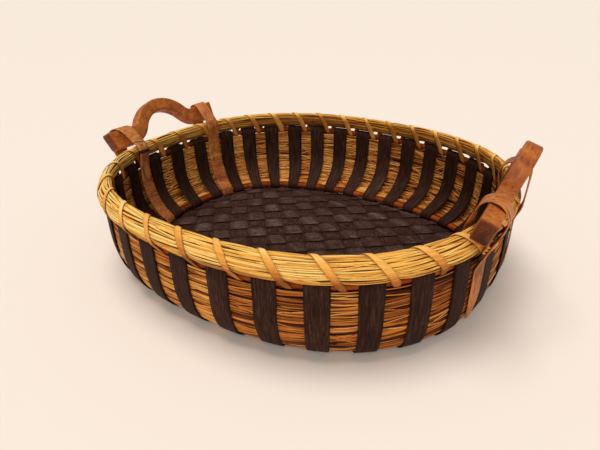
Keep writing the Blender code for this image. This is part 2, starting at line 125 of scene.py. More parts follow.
def kinked(rng: np.random.Generator, index: np.ndarray, count: int) -> np.ndarray:
    """Chance values at whole numbers, with straight lines between them, that join up after one round.

    Args:
        rng: the source of chance.
        index: where to read them.
        count: how many whole numbers make a round.

    Returns:
        The values, mostly between -2 and 2.
    """
    values = rng.normal(size=count)
    return np.interp(np.mod(index, count), np.arange(count + 1), np.append(values, values[0]))


def near_tone(rng: np.random.Generator, middle: float, spread: float) -> float:
    """A chance tone about a middle one, held between 0 and 1."""
    return float(np.clip(rng.normal(middle, spread), 0, 1))


def stretches(
    rng: np.random.Generator, start: int, end: int, step: int, spaces: tuple[int, int]
) -> Iterator[slice]:
    """Cuts a run of rings into stretches of chance lengths.

    Args:
        rng: the source of chance.
        start: the first ring.
        end: the ring at which the run is full.
        step: how many rings a space between two stakes has.
        spaces: the fewest spaces in a stretch, and one more than the most.

    Yields:
        The stretches, one after another.
    """
    while start < end:
        after = start + int(rng.integers(*spaces)) * step
        yield slice(start, after)
        start = after


def patch(share: np.ndarray, middle: float) -> np.ndarray:
    """1 at one place of the round, falling to 0 a quarter of a round away on both sides."""
    return np.cos(TURN * (share - middle)).clip(0)


def slope(value: np.ndarray, start: float, end: float) -> np.ndarray:
    """0 on one side of the start, 1 beyond the end, and a straight line from one to the other."""
    return np.clip((value - start) / (end - start), 0, 1)


def pointing(angle: np.ndarray) -> np.ndarray:
    """Unit vectors at angles, as a last axis of two parts."""
    return np.stack([np.cos(angle), np.sin(angle)], axis=-1)


def clockwise(count: int) -> np.ndarray:
    """Angles at even steps, once round clockwise."""
    return -np.arange(count) * TURN / count


def arc(centre: Sequence[float], radius: float, start: float, end: float, steps: int) -> np.ndarray:
    """Points on an arc, both ends included."""
    return np.array(centre) + radius * pointing(np.linspace(start, end, steps + 1))


def unit(vectors: np.ndarray) -> np.ndarray:
    """Vectors brought to a length of 1."""
    return vectors / np.linalg.norm(vectors, axis=-1, keepdims=True)


def walked(line: np.ndarray) -> np.ndarray:
    """How far along a line each of its points lies."""
    return np.concatenate([[0], np.cumsum(np.linalg.norm(np.diff(line, axis=0), axis=1))])


def read_off(at: Values, marks: np.ndarray, rows: np.ndarray) -> np.ndarray:
    """Rows of values that are known at marks, read between them."""
    return np.stack([np.interp(at, marks, column) for column in rows.T], axis=-1)


def evened(line: np.ndarray, count: int) -> np.ndarray:
    """The same line with a number of points at even lengths, both ends kept."""
    reached = walked(line)
    return read_off(np.linspace(0, reached[-1], count), reached, line)


def softened(line: np.ndarray, rounds: int) -> np.ndarray:
    """Eases a line's corners.

    Args:
        line: rows of coordinates.
        rounds: how often each point is drawn towards its two neighbours.

    Returns:
        The eased line, its two ends kept.
    """
    for _ in range(rounds):
        line = np.concatenate([line[:1], (line[:-2] + 2 * line[1:-1] + line[2:]) / 4, line[-1:]])
    return line


def line_normals(line: np.ndarray) -> np.ndarray:
    """The unit normals of a plane line, to its left."""
    run = unit(np.gradient(line, axis=0))
    return np.stack([-run[:, 1], run[:, 0]], axis=-1)


def shown(name: str, data: bpy.types.ID) -> bpy.types.Object:
    """Makes an object and links it to the scene.

    Args:
        name: its name.
        data: its mesh, light or camera.

    Returns:
        The object.
    """
    made = bpy.data.objects.new(name, data)
    bpy.context.scene.collection.objects.link(made)
    return made


@dataclass(frozen=True)
class Oval:
    """The rim's centre line, an oval a little squarer than an ellipse, read by shares of its length."""

    length: float = 0.430
    width: float = 0.387
    power: float = 2.35
    samples: int = 2880

    @cached_property
    def table(self) -> np.ndarray:
        """The oval's points, counter-clockwise from the right end.

        Returns:
            Five rows: the length walked, x, y, and the outward normal's x and y.
        """
        angle = np.linspace(0, TURN, self.samples + 1)
        long, wide = self.length / 2, self.width / 2
        cosine, sine = np.cos(angle), np.sin(angle)
        reach = np.abs(cosine / long) ** self.power + np.abs(sine / wide) ** self.power
        radius = reach ** (-1 / self.power)
        x, y = radius * cosine, radius * sine
        slope_x = np.sign(x) * np.abs(x / long) ** (self.power - 1) / long
        slope_y = np.sign(y) * np.abs(y / wide) ** (self.power - 1) / wide
        steep = np.hypot(slope_x, slope_y)
        return np.stack([walked(np.stack([x, y], axis=-1)), x, y, slope_x / steep, slope_y / steep])

    @property
    def round(self) -> float:
        """The length of one round."""
        return float(self.table[0, -1])

    def at(self, share: Values) -> np.ndarray:
        """The oval at shares of the round.

        Args:
            share: the shares, where a whole number more or less makes no difference.

        Returns:
            A last axis of x, y, and the outward normal's x and y.
        """
        values = read_off(np.mod(share, 1) * self.round, self.table[0], self.table[1:].T)
        values[..., 2:] = unit(values[..., 2:])
        return values

    def place(self, share: Values, flat: np.ndarray) -> np.ndarray:
        """Takes flat points to the world.

        Args:
            share: the shares of the round at which they lie.
            flat: the flat points.

        Returns:
            A last axis of x, y, z.
        """
        x, y, out_x, out_y = np.moveaxis(self.at(share), -1, 0)
        offset, height = flat[..., 0], flat[..., 1]
        return np.stack(np.broadcast_arrays(x + out_x * offset, y + out_y * offset, height), axis=-1)

    def cord(self, share: np.ndarray, middle: np.ndarray, radius: Values, sides: int) -> np.ndarray:
        """The rings of a round strand along flat points."""
        thick = np.broadcast_to(radius, share.shape)[:, None, None]
        return self.place(share[:, None], middle[:, None] + thick * pointing(clockwise(sides)))


@dataclass(frozen=True)
class Handle:
    """Where one handle stands and how it differs from the other, as the solids have it."""

    share: float
    strap_reach: float
    half_span: float
    rise: float
    foot: tuple[float, float, float]
    lean: float
    turn: float


HANDLES: Mapping[str, Handle] = {
    "right": Handle(
        share=0.001,
        strap_reach=0.050,
        half_span=0.044,
        rise=0.039,
        foot=(0.2150, 0.00132, 0.1176),
        lean=math.radians(20),
        turn=math.radians(6),
    ),
    "left": Handle(
        share=0.502,
        strap_reach=0.064,
        half_span=0.052,
        rise=0.0275,
        foot=(-0.2270, -0.00269, 0.11084),
        lean=math.radians(28),
        turn=math.radians(3),
    ),
}


@dataclass(frozen=True)
class Layout:
    """Where straps and stakes stand round the rim: the stakes are even in each run between two straps."""

    oval: Oval
    runs: tuple[int, ...] = (2, 15, 3, 13)
    strap_room: float = 0.0230

    def strap(self, handle: Handle, side: int) -> float:
        """The share of the round at which a strap lies, on one side of its handle's middle."""
        return handle.share + side * handle.strap_reach / self.oval.round

    @cached_property
    def stakes(self) -> np.ndarray:
        """Spreads the stakes.

        Returns:
            The share of the round of every stake.
        """
        straps = [self.strap(HANDLES[name], side) for name in ("right", "left") for side in (-1, 1)]
        room = self.strap_room / self.oval.round
        ends = zip(straps, straps[1:] + [straps[0] + 1], self.runs)
        return np.concatenate([np.linspace(start + room, end - room, count) for start, end, count in ends])

    @cached_property
    def marks(self) -> np.ndarray:
        """The stakes' shares, and at the end the first one's a round later."""
        return np.append(self.stakes, self.stakes[0] + 1)

    @cached_property
    def numbers(self) -> np.ndarray:
        """The numbers of the marks, counted from nought."""
        return np.arange(len(self.marks))

    def share(self, index: Values) -> np.ndarray:
        """The share of the round at a stake's number, or between two."""
        rounds, rest = np.divmod(index, len(self.stakes))
        return rounds + np.interp(rest, self.numbers, self.marks)

    def index(self, share: Values) -> np.ndarray:
        """The stake's number at a share of the round, with its fraction."""
        rounds, rest = np.divmod(share - self.marks[0], 1)
        return rounds * len(self.stakes) + np.interp(rest, self.marks - self.marks[0], self.numbers)

    def rings(self, per_space: int) -> np.ndarray:
        """Shares at even steps in every space between stakes, for a full round without its last point."""
        return self.share(np.arange(len(self.stakes) * per_space) / per_space)


@dataclass(frozen=True)
class Wall:
    """The middle surface of the wall, from the bottom hoop up to the top one."""

    oval: Oval
    inset: float = 0.0015
    end_tuck: float = 0.0210
    side_tuck: float = 0.0425
    foot_shift: float = 0.0060
    tuck_power: float = 3.5
    low: float = 0.0061
    top: float = 0.0795
    straw_top: float = 0.0752
    hoop_radius: float = 0.0035
    half_thickness: float = 0.0035
    shares: int = 480
    steps: int = 120
    samples: int = 400

    @cached_property
    def grid(self) -> np.ndarray:
        """The wall at even shares of the round and of its own length.

        Returns:
            For each share and step, the flat point and the outward normal.
        """
        at = self.oval.at(np.arange(self.shares) / self.shares)
        tuck = self.end_tuck * at[:, 2] ** 2 + self.side_tuck * at[:, 3] ** 2 - self.foot_shift * at[:, 2]
        turn = np.linspace(math.pi / 2, 0, self.samples)
        bend = 1 - np.cos(turn).clip(0) ** (2 / self.tuck_power)
        height = self.top - (self.top - self.low) * np.sin(turn) ** (2 / self.tuck_power)
        rows = []
        for depth in tuck:
            line = evened(np.stack([-self.inset - depth * bend, height], axis=-1), self.steps + 1)
            rows.append(np.concatenate([line, -line_normals(line)], axis=-1))
        return np.array(rows)

    @cached_property
    def lengths(self) -> np.ndarray:
        """The wall's length from hoop to hoop at even shares, and at the end the first one again."""
        lengths = np.linalg.norm(np.diff(self.grid[..., :2], axis=1), axis=-1).sum(axis=1)
        return np.append(lengths, lengths[0])

    def length(self, share: Values) -> np.ndarray:
        """The wall's length from hoop to hoop at shares of the round."""
        return np.interp(np.mod(share, 1), np.arange(self.shares + 1) / self.shares, self.lengths)

    def read(self, share: Values, rise: Values) -> np.ndarray:
        """The wall at shares of the round and of its own length.

        Args:
            share: shares of the round.
            rise: shares of the wall's length, from the bottom hoop up.

        Returns:
            A last axis of the flat point and the outward normal.
        """
        across, up = np.broadcast_arrays(np.mod(share, 1) * self.shares, np.clip(rise, 0, 1) * self.steps)
        left, below = np.floor(across).astype(int), np.minimum(np.floor(up).astype(int), self.steps - 1)
        sideways, upwards = (across - left)[..., None], (up - below)[..., None]
        near, far = (
            self.grid[column % self.shares, below] * (1 - upwards)
            + self.grid[column % self.shares, below + 1] * upwards
            for column in (left, left + 1)
        )
        values = near * (1 - sideways) + far * sideways
        values[..., 2:] = unit(values[..., 2:])
        return values

    def point(self, share: Values, rise: Values, distance: Values) -> np.ndarray:
        """Flat points at a distance outwards from the wall's middle."""
        values = self.read(share, rise)
        return values[..., :2] + values[..., 2:] * np.asarray(distance)[..., None]

    def rise_to(self, share: float, height: float) -> float:
        """The share of the wall's length at which its middle reaches a height."""
        rises = np.linspace(0, 1, self.steps + 1)
        return float(np.interp(height, self.read(share, rises)[:, 1], rises))


@dataclass(frozen=True)
class Bundle:
    """The rim bundle's section, an oval that leans outwards at its lower end."""

    depth: float = 0.0215
    thickness: float = 0.0118
    tilt: float = math.radians(30)
    height: float = 0.0940647

    @property
    def half(self) -> np.ndarray:
        """Half of the section along its own axes."""
        return np.array([self.depth / 2, self.thickness / 2])

    def turned(self, vectors: np.ndarray, way: int = 1) -> np.ndarray:
        """Turns vectors from the section's own axes to outwards and upwards, or back.

        Args:
            vectors: a last axis of two parts.
            way: 1 for out of the section's axes, -1 for into them.

        Returns:
            The turned vectors.
        """
        cosine, sine = pointing(way * (math.pi / 2 + self.tilt))
        return vectors @ np.array([[cosine, sine], [-sine, cosine]])

    def normal(self, angle: np.ndarray) -> np.ndarray:
        """The outward normals at angles of the section."""
        return self.turned(unit(pointing(angle) / self.half))

    def section(self, angle: np.ndarray, inset: float = 0.0) -> np.ndarray:
        """Flat points at angles of the section, drawn in square to it."""
        return self.turned(pointing(angle) * self.half) - self.normal(angle) * inset + [0, self.height]

    def support(self, normal: np.ndarray, grow: float) -> np.ndarray:
        """The furthest flat points of the grown section along normals."""
        own = unit(self.turned(normal, -1) * self.half) * self.half
        return self.turned(own) + [0, self.height] + normal * grow


@dataclass(frozen=True)
class Band:
    """A band drawn taut round the rim bundle, the top hoop and, under a strap, a handle's foot."""

    bundle: Bundle
    wall: Wall

    def points(
        self, turns: np.ndarray, grow: float, foot: tuple[np.ndarray, float] | None = None
    ) -> np.ndarray:
        """The band's points at which its outward normal has the given directions.

        Args:
            turns: the directions, as angles from outwards to upwards.
            grow: how far outside the rounds the band runs.
            foot: the middle and radius of a handle's foot, or None.

        Returns:
            Rows of flat points.
        """
        normal = pointing(turns)
        hoop = np.array([-self.wall.inset, self.wall.top]) + normal * (self.wall.hoop_radius + grow)
        rounds = [self.bundle.support(normal, grow), hoop]
        if foot is not None:
            rounds.append(foot[0] + normal * foot[1])
        stacked = np.stack(rounds)
        best = (stacked * normal).sum(axis=-1).argmax(axis=0)
        return stacked[best, np.arange(len(turns))]


class Sheaf:
    """Gathers strands of one kind into one mesh, with a map of their grain and a shade for each strand."""

    def __init__(self) -> None:
        """Starts with nothing in it."""
        self.points: list[np.ndarray] = []
        self.faces: list[tuple[int, ...]] = []
        self.corners: list[np.ndarray] = []
        self.shades: list[np.ndarray] = []
        self.painted_shades: list[np.ndarray] = []
        self.total = 0

    def add(self, rings: np.ndarray, shade: Values, closed: bool = False, depth: Values = 0.0) -> "Sheaf":
        """Adds a strand from its rings of points.

        Args:
            rings: an array of (rings, points in a ring, 3), each ring anticlockwise seen against the run.
            shade: one number for the strand, or one for each ring.
            closed: whether the last ring joins the first, as in a hoop.
            depth: painted shade, 0 to 1, for each ring and point: more where a point lies deep between the
                strand's neighbours.

        Returns:
            The sheaf itself.
        """
        count, around = rings.shape[:2]
        middles = rings.mean(axis=1)
        along = walked(middles)
        girth = walked(np.concatenate([rings[0], rings[0, :1]]))
        if closed:
            along = np.append(along, along[-1] + np.linalg.norm(middles[-1] - middles[0]))
        spans = count if closed else count - 1
        row, column = np.divmod(np.arange(spans * around), around)
        after, beside = (row + 1) % count * around, (column + 1) % around
        near = row * around
        quads = np.stack([near + column, near + beside, after + beside, after + column], axis=1)
        self.faces += [tuple(face) for face in (quads + self.total).tolist()]
        uv = np.stack([along[[row, row, row + 1, row + 1]], girth[[column, column + 1, column + 1, column]]])
        self.corners.append(uv.T.reshape(-1, 2))
        if not closed:
            for ring, order in ((0, range(around - 1, -1, -1)), (count - 1, range(around))):
                self.faces.append(tuple(self.total + ring * around + step for step in order))
                self.corners.append(np.stack([np.full(around, along[ring]), girth[list(order)]], axis=-1))
        self.points.append(rings.reshape(-1, 3))
        self.shades.append(np.repeat(np.broadcast_to(shade, count), around))
        self.painted_shades.append(np.broadcast_to(depth, (count, around)).ravel())
        self.total += count * around
        return self

    def build(self, name: str, material: bpy.types.Material) -> bpy.types.Object:
        """Makes the object.

        Args:
            name: the piece's name.
            material: its material.

        Returns:
            The object, in the scene.
        """
        mesh = bpy.data.meshes.new(name)
        mesh.from_pydata(np.concatenate(self.points).tolist(), [], self.faces)
        mesh.uv_layers.new(name=GRAIN_MAP).data.foreach_set("uv", np.concatenate(self.corners).ravel())
        for key, values in ((SHADE, self.shades), (PAINTED_SHADE, self.painted_shades)):
            layer = mesh.attributes.new(key, "FLOAT", "POINT")
            layer.data.foreach_set("value", np.concatenate(values).astype(np.float32))
        mesh.polygons.foreach_set("use_smooth", [True] * len(mesh.polygons))
        mesh.materials.append(material)
        mesh.validate()
        mesh.update()
        return shown(name, mesh)


@dataclass(frozen=True)
class Strip:
    """The section of a split strip: a gently crowned top, a flat underside and eased edges."""

    columns: int
    crown: float = 0.55
    crown_power: float = 3.5
    top_width: float = 0.985
    underside: float = -0.75
    base_width: float = 0.97
    edge_power: float = 8

    @cached_property
    def section(self) -> np.ndarray:
        """The outline, counter-clockwise.

        Returns:
            Rows of (across, out), in halves of the strip's width and thickness.
        """
        across = np.linspace(-1, 1, self.columns)
        crown = 1 - self.crown * np.abs(across) ** self.crown_power
        top = np.stack([across * self.top_width, crown], axis=-1)
        under = np.stack([across[::-1], np.full(self.columns, self.underside)], axis=-1)
        under[0, 0], under[-1, 0] = self.base_width, -self.base_width
        edge = np.array([[1.0, 0.0]])
        return np.concatenate([top, edge, under, -edge])[::-1]

    def edges(self, depth: float) -> np.ndarray:
        """How much painted shade the outline's points get: nought in the middle, the given amount at the
        edges.
        """
        return depth * np.abs(self.section[:, 0]) ** self.edge_power


class Wire:
    """A node's output that can be reckoned with: arithmetic on it adds Math nodes."""

    def __init__(self, bench: "Bench", socket: bpy.types.NodeSocket) -> None:
        """Keeps the socket and the bench that it belongs to."""
        self.bench = bench
        self.socket = socket

    def _math(self, operation: str, *values: Number, clamp: bool = False) -> "Wire":
        """A Math node on values."""
        settings = {"operation": operation, "use_clamp": clamp}
        return self.bench.add("ShaderNodeMath", settings, dict(enumerate(values)))

    def __add__(self, other: Number) -> "Wire":
        """The sum."""
        return self._math("ADD", self, other)

    __radd__ = __add__

    def __sub__(self, other: Number) -> "Wire":
        """The difference."""
        return self._math("SUBTRACT", self, other)

    def __rsub__(self, other: Number) -> "Wire":
        """The difference, the other way round."""
        return self._math("SUBTRACT", other, self)

    def __mul__(self, other: Number) -> "Wire":
        """The product."""
        return self._math("MULTIPLY", self, other)

    __rmul__ = __mul__

    def clipped(self) -> "Wire":
        """The value held between 0 and 1."""
        return self._math("ADD", self, 0.0, clamp=True)

    def between(self, low: float, high: float) -> "Wire":
        """0 below one value, 1 above the other, and a smooth step from one to the other."""
        sockets = {"Value": self, "From Min": low, "From Max": high}
        return self.bench.add("ShaderNodeMapRange", {"interpolation_type": "SMOOTHSTEP"}, sockets)


class Bench:
    """The node tree of a material or a world, with the one method that adds nodes to it."""

    def __init__(self, owner: Union[bpy.types.Material, bpy.types.World], shader: str) -> None:
        """Starts on the tree of its owner.

        Args:
            owner: the material or world.
            shader: the name of the owner's own shader node.
        """
        owner.use_nodes = True
        self.owner = owner
        self.tree = owner.node_tree
        self.shader = self.tree.nodes[shader]

    def add(
        self,
        kind: str,
        settings: Mapping[str, object] | None = None,
        sockets: Mapping[Union[str, int], object] | None = None,
        output: Union[str, int] = 0,
    ) -> Wire:
        """Adds a node.

        Args:
            kind: the node's type.
            settings: its properties, set first; "stops" are a ramp's positions and colours.
            sockets: values or wires for its inputs, by name or number.
            output: the output to return, by name or number.

        Returns:
            The wire from that output.
        """
        node = self.tree.nodes.new(kind)
        for key, value in (settings or {}).items():
            if key == "stops":
                self._set_stops(node.color_ramp, value)
            else:
                setattr(node, key, value)
        for key, value in (sockets or {}).items():
            self.feed(node.inputs[key], value)
        return Wire(self, node.outputs[output])

    def _set_stops(self, ramp: bpy.types.ColorRamp, stops: Sequence[tuple[float, ...]]) -> None:
        """Gives a ramp its stops.

        Args:
            ramp: the ramp.
            stops: rows of position, red, green and blue.
        """
        while len(ramp.elements) < len(stops):
            ramp.elements.new(1.0)
        for element, (position, *colour) in zip(ramp.elements, stops):
            element.position = position
            element.color = (*colour, 1)

    def feed(self, socket: bpy.types.NodeSocket, value: object) -> None:
        """Links a wire to an input, or sets the input's value.

        Args:
            socket: the input.
            value: the wire or the value.
        """
        if isinstance(value, Wire):
            self.tree.links.new(value.socket, socket)
        else:
            socket.default_value = value

    def noise(self, at: Wire, scale: float, detail: float, roughness: float) -> Wire:
        """Noise about 0.5."""
        sockets = {"Vector": at, "Scale": scale, "Detail": detail, "Roughness": roughness}
        return self.add("ShaderNodeTexNoise", {"noise_dimensions": "3D"}, sockets)

    def stretched(self, at: Wire, by: tuple[float, float, float], move: Wire) -> Wire:
        """A vector with each part scaled, and then moved by a number on all three."""
        scaled = self.add("ShaderNodeVectorMath", {"operation": "MULTIPLY"}, {0: at, 1: by})
        return self.add("ShaderNodeVectorMath", {"operation": "ADD"}, {0: scaled, 1: move})

    def place(self) -> Wire:
        """The place on the tray, in metres."""
        return self.add("ShaderNodeTexCoord", output="Object")

    def grain(self) -> Wire:
        """Metres along and round the strand."""
        return self.add("ShaderNodeUVMap", {"uv_map": GRAIN_MAP})

    def attribute(self, name: str) -> Wire:
        """A value that the mesh carries, such as the strand's own shade."""
        return self.add("ShaderNodeAttribute", {"attribute_name": name}, output="Fac")

    def ramp(self, value: Wire, stops: Sequence[tuple[float, ...]]) -> Wire:
        """A colour for a value."""
        return self.add("ShaderNodeValToRGB", {"stops": stops}, {"Fac": value})

    def blend(self, factor: Number, first: object, second: object) -> Wire:
        """Two colours mixed."""
        settings = {"data_type": "RGBA", "clamp_factor": True}
        return self.add("ShaderNodeMix", settings, {0: factor, 6: first, 7: second}, output=2)

    def finish(self, colour: Wire, roughness: Number, height: Wire, depth: float) -> bpy.types.Material:
        """Feeds the shader.

        Args:
            colour: the base colour.
            roughness: the roughness.
            height: the relief, about 0 to 1.
            depth: what 1 of the relief is in metres.

        Returns:
            The material.
        """
        sockets = {"Height": height, "Distance": depth, "Strength": 1.0}
        self.feed(self.shader.inputs["Base Color"], colour)
        self.feed(self.shader.inputs["Roughness"], roughness)
        self.feed(self.shader.inputs["Normal"], self.add("ShaderNodeBump", sockets=sockets))
        return self.owner


@dataclass(frozen=True)
class PlantFinish:
    """The finish of straw, cane or split wood: fibres run along the strand, and each strand has its shade.

    The tone of a point goes from 0 to 1 and is looked up in the stops, rows of position, red, green and blue.
    The streaks are waves in a metre along and across the strand; fine streaks and cracks are shares of them.
    A noise is given by its scale, detail and roughness, the blotches' without its scale.
    """

    name: str
    stops: tuple[tuple[float, ...], ...]
    shade_part: float = 0.5
    streak_part: float = 0.35
    blotch_part: float = 0.3
    lift: float = 0.0
    streaks: tuple[float, float] = (14.0, 1500.0)
    fine_streaks: tuple[float, float] = (2.5, 2.6)
    crack_streaks: tuple[float, float] = (0.7, 0.8)
    crack_edges: tuple[float, float] = (0.30, 0.40)
    painted_shade_edges: tuple[float, float] = (0.16, 0.62)
    painted_shade_part: float = 0.92
    blotch_scale: float = 22.0
    cracks: float = 0.35
    streak_noise: tuple[float, float, float] = (1.0, 3.0, 0.6)
    fine_noise: tuple[float, float, float] = (1.0, 2.0, 0.6)
    crack_noise: tuple[float, float, float] = (1.0, 1.0, 0.5)
    blotch_noise: tuple[float, float] = (3.0, 0.55)
    fine_tone: float = 0.35
    fine_relief: float = 0.4
    crack_relief: float = 0.5
    strand_shift: float = 53.0
    crack_shift: float = 9.0
    blotch_shift: float = 0.35
    rough: tuple[float, float] = (0.42, 0.66)
    relief: float = 0.00022
    specular: float = 0.45

    def tone(self, streak: Wire, blotch: Wire, shade: Wire) -> Wire:
        """The tone of a point from its streaks, its blotches and its strand's shade."""
        parts = (shade - 0.5) * self.shade_part + (streak - 0.5) * (2 * self.streak_part)
        return (parts + (blotch - 0.5) * (2 * self.blotch_part) + (0.5 + self.lift)).clipped()

    def along_strand(self, bench: Bench, by: tuple[float, float], move: Wire) -> Wire:
        """The place on the strand, drawn out along it, for shares of the streaks."""
        return bench.stretched(bench.grain(), (self.streaks[0] * by[0], self.streaks[1] * by[1], 1), move)

    def make(self) -> bpy.types.Material:
        """Builds the material.

        Returns:
            The material.
        """
        bench = Bench(bpy.data.materials.new(self.name), "Principled BSDF")
        shade, depth = bench.attribute(SHADE), bench.attribute(PAINTED_SHADE)
        apart = shade * self.strand_shift
        streak = bench.noise(self.along_strand(bench, (1, 1), apart), *self.streak_noise)
        fine = bench.noise(self.along_strand(bench, self.fine_streaks, apart), *self.fine_noise)
        crack_at = self.along_strand(bench, self.crack_streaks, apart + self.crack_shift)
        crack = bench.noise(crack_at, *self.crack_noise)
        blotch_at = bench.stretched(bench.place(), (1, 1, 1), shade * self.blotch_shift)
        blotch = bench.noise(blotch_at, self.blotch_scale, *self.blotch_noise)
        cracked = 1 - crack.between(*self.crack_edges)
        fibres = streak * (1 - self.fine_tone) + fine * self.fine_tone
        colour = bench.ramp(self.tone(fibres, blotch, shade), self.stops)
        dark = (*self.stops[0][1:], 1)
        # Painted shade: the depth attribute blends points deep between strands or at strip edges towards the
        # darkest stop; the cracks are the straw's and wood's own.
        painted_hollow_shade = depth.between(*self.painted_shade_edges) * self.painted_shade_part
        darker = bench.blend(painted_hollow_shade, bench.blend(cracked * self.cracks, colour, dark), dark)
        rough = streak * (self.rough[1] - self.rough[0]) + self.rough[0]
        relief = streak * (1 - self.fine_relief) + fine * self.fine_relief - cracked * self.crack_relief
        bench.shader.inputs["Specular IOR Level"].default_value = self.specular
        return bench.finish(darker, rough, relief, self.relief)


WALL_STRAW = PlantFinish(
    name="wall straw",
    stops=(
        (0.0, 0.018, 0.005, 0.002),
        (0.20, 0.105, 0.021, 0.004),
        (0.46, 0.370, 0.094, 0.012),
        (0.75, 0.690, 0.228, 0.034),
        (1.0, 0.910, 0.450, 0.105),
    ),
    shade_part=0.95,
    streak_part=0.22,
    blotch_part=0.66,
    lift=0.02,
    streaks=(22.0, 1100.0),
    blotch_scale=14.0,
    relief=0.00015,
    specular=0.12,
)
RIM_STRAW = PlantFinish(
    name="rim straw",
    stops=(
        (0.0, 0.090, 0.026, 0.005),
        (0.22, 0.420, 0.140, 0.018),
        (0.48, 0.780, 0.330, 0.042),
        (0.76, 0.940, 0.500, 0.092),
        (1.0, 0.980, 0.700, 0.230),
    ),
    shade_part=0.75,
    streak_part=0.36,
    blotch_part=0.34,
    lift=0.09,
    streaks=(16.0, 1300.0),
    blotch_scale=16.0,
    relief=0.00018,
    specular=0.15,
)
LASHING_STRIP = PlantFinish(
    name="lashing strip",
    stops=(
        (0.0, 0.170, 0.045, 0.007),
        (0.35, 0.560, 0.185, 0.024),
        (0.65, 0.870, 0.390, 0.066),
        (1.0, 0.980, 0.650, 0.200),
    ),
    shade_part=0.9,
    streak_part=0.20,
    blotch_part=0.30,
    lift=0.03,
    streaks=(30.0, 1000.0),
    blotch_scale=34.0,
    cracks=0.2,
    relief=0.00012,
    specular=0.15,
)
CANE = PlantFinish(
    name="reddish cane",
    stops=(
        (0.0, 0.070, 0.012, 0.002),
        (0.4, 0.240, 0.038, 0.004),
        (0.7, 0.370, 0.066, 0.008),
        (1.0, 0.520, 0.150, 0.028),
    ),
    shade_part=0.9,
    streak_part=0.34,
    blotch_part=0.50,
    streaks=(10.0, 500.0),
    blotch_scale=30.0,
    rough=(0.46, 0.64),
    relief=0.00012,
    specular=0.08,
)
DARK_SPLINT = PlantFinish(
    name="dark splint",
    stops=(
        (0.0, 0.006, 0.002, 0.001),
        (0.35, 0.024, 0.008, 0.004),
        (0.60, 0.046, 0.017, 0.010),
        (0.82, 0.088, 0.042, 0.028),
        (1.0, 0.170, 0.105, 0.080),
    ),
    shade_part=0.25,
    streak_part=0.95,
    blotch_part=0.22,
    lift=-0.02,
    streaks=(60.0, 900.0),
    blotch_scale=26.0,
    cracks=0.5,
    rough=(0.52, 0.76),
    relief=0.00048,
    specular=0.08,
)
FLOOR_SPLINT = PlantFinish(
    name="floor splint",
    stops=(
        (0.0, 0.003, 0.001, 0.001),
        (0.30, 0.014, 0.005, 0.003),
        (0.55, 0.042, 0.015, 0.009),
        (0.80, 0.084, 0.047, 0.036),
        (1.0, 0.170, 0.120, 0.098),
    ),
    shade_part=0.85,
    streak_part=1.05,
    blotch_part=0.26,
    lift=0.01,
    streaks=(60.0, 800.0),
    blotch_scale=30.0,
    cracks=0.5,
    rough=(0.46, 0.70),
    relief=0.00050,
    specular=0.06,
)
STRAP_WOOD = PlantFinish(
    name="strap wood",
    stops=(
        (0.0, 0.080, 0.018, 0.005),
        (0.3, 0.270, 0.068, 0.014),
        (0.6, 0.500, 0.150, 0.032),
        (0.85, 0.640, 0.230, 0.056),
        (1.0, 0.700, 0.300, 0.088),
    ),
    shade_part=0.35,
    streak_part=0.85,
    blotch_part=0.60,
    lift=0.06,
    streaks=(8.0, 360.0),
    blotch_scale=32.0,
    cracks=0.65,
    rough=(0.40, 0.62),
    relief=0.00026,
    specular=0.22,
)
HANDLE_WOOD = PlantFinish(
    name="handle wood",
    stops=(
        (0.0, 0.050, 0.010, 0.003),
        (0.3, 0.220, 0.048, 0.009),
        (0.6, 0.450, 0.120, 0.018),
        (0.85, 0.610, 0.205, 0.034),
        (1.0, 0.710, 0.305, 0.070),
    ),
    shade_part=0.6,
    streak_part=0.56,
    blotch_part=0.50,
    lift=0.03,
    streaks=(6.0, 300.0),
    blotch_scale=26.0,
    cracks=0.45,
    rough=(0.34, 0.54),
    relief=0.00036,
    specular=0.2,
)
DARK_CORD = PlantFinish(
    name="dark cord",
    stops=((0.0, 0.006, 0.003, 0.002), (0.5, 0.030, 0.012, 0.007), (1.0, 0.110, 0.055, 0.032)),
    streaks=(400.0, 900.0),
    rough=(0.6, 0.8),
    relief=0.00030,
    specular=0.2,
)
PALE_THREAD = PlantFinish(
    name="pale thread",
    stops=((0.0, 0.260, 0.150, 0.070), (0.5, 0.560, 0.380, 0.210), (1.0, 0.760, 0.590, 0.380)),
    streaks=(300.0, 900.0),
    rough=(0.6, 0.8),
    relief=0.00015,
    specular=0.25,
)


class Shop:
    """Makes each finish once, hands it out, and fits the finished pieces to the frame."""

    def __init__(self) -> None:
        """Starts with no material made."""
        self.made: dict[str, bpy.types.Material] = {}

    def material(self, finish: PlantFinish) -> bpy.types.Material:
        """Hands out a finish.

        Args:
            finish: the finish.

        Returns:
            Its material, made at its first use.
        """
        if finish.name not in self.made:
            self.made[finish.name] = finish.make()
        return self.made[finish.name]

    def fit(self, sheaf: Sheaf, name: str, finish: PlantFinish, slot: Slot, *nodes: str) -> None:
        """Builds a piece and fits it to the frame.

        Args:
            sheaf: its strands.
            name: its name.
            finish: its finish.
            slot: the record's slot of that finish; not used.
            nodes: the solids it stands for.
        """
        piece = sheaf.build(name, self.material(finish))
        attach(piece, "root")
        if nodes:
            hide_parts(*nodes)
        solids = ", ".join(nodes) or "no solid of its own"
        LOG.info("%s: %d faces for %s", name, len(piece.data.polygons), solids)


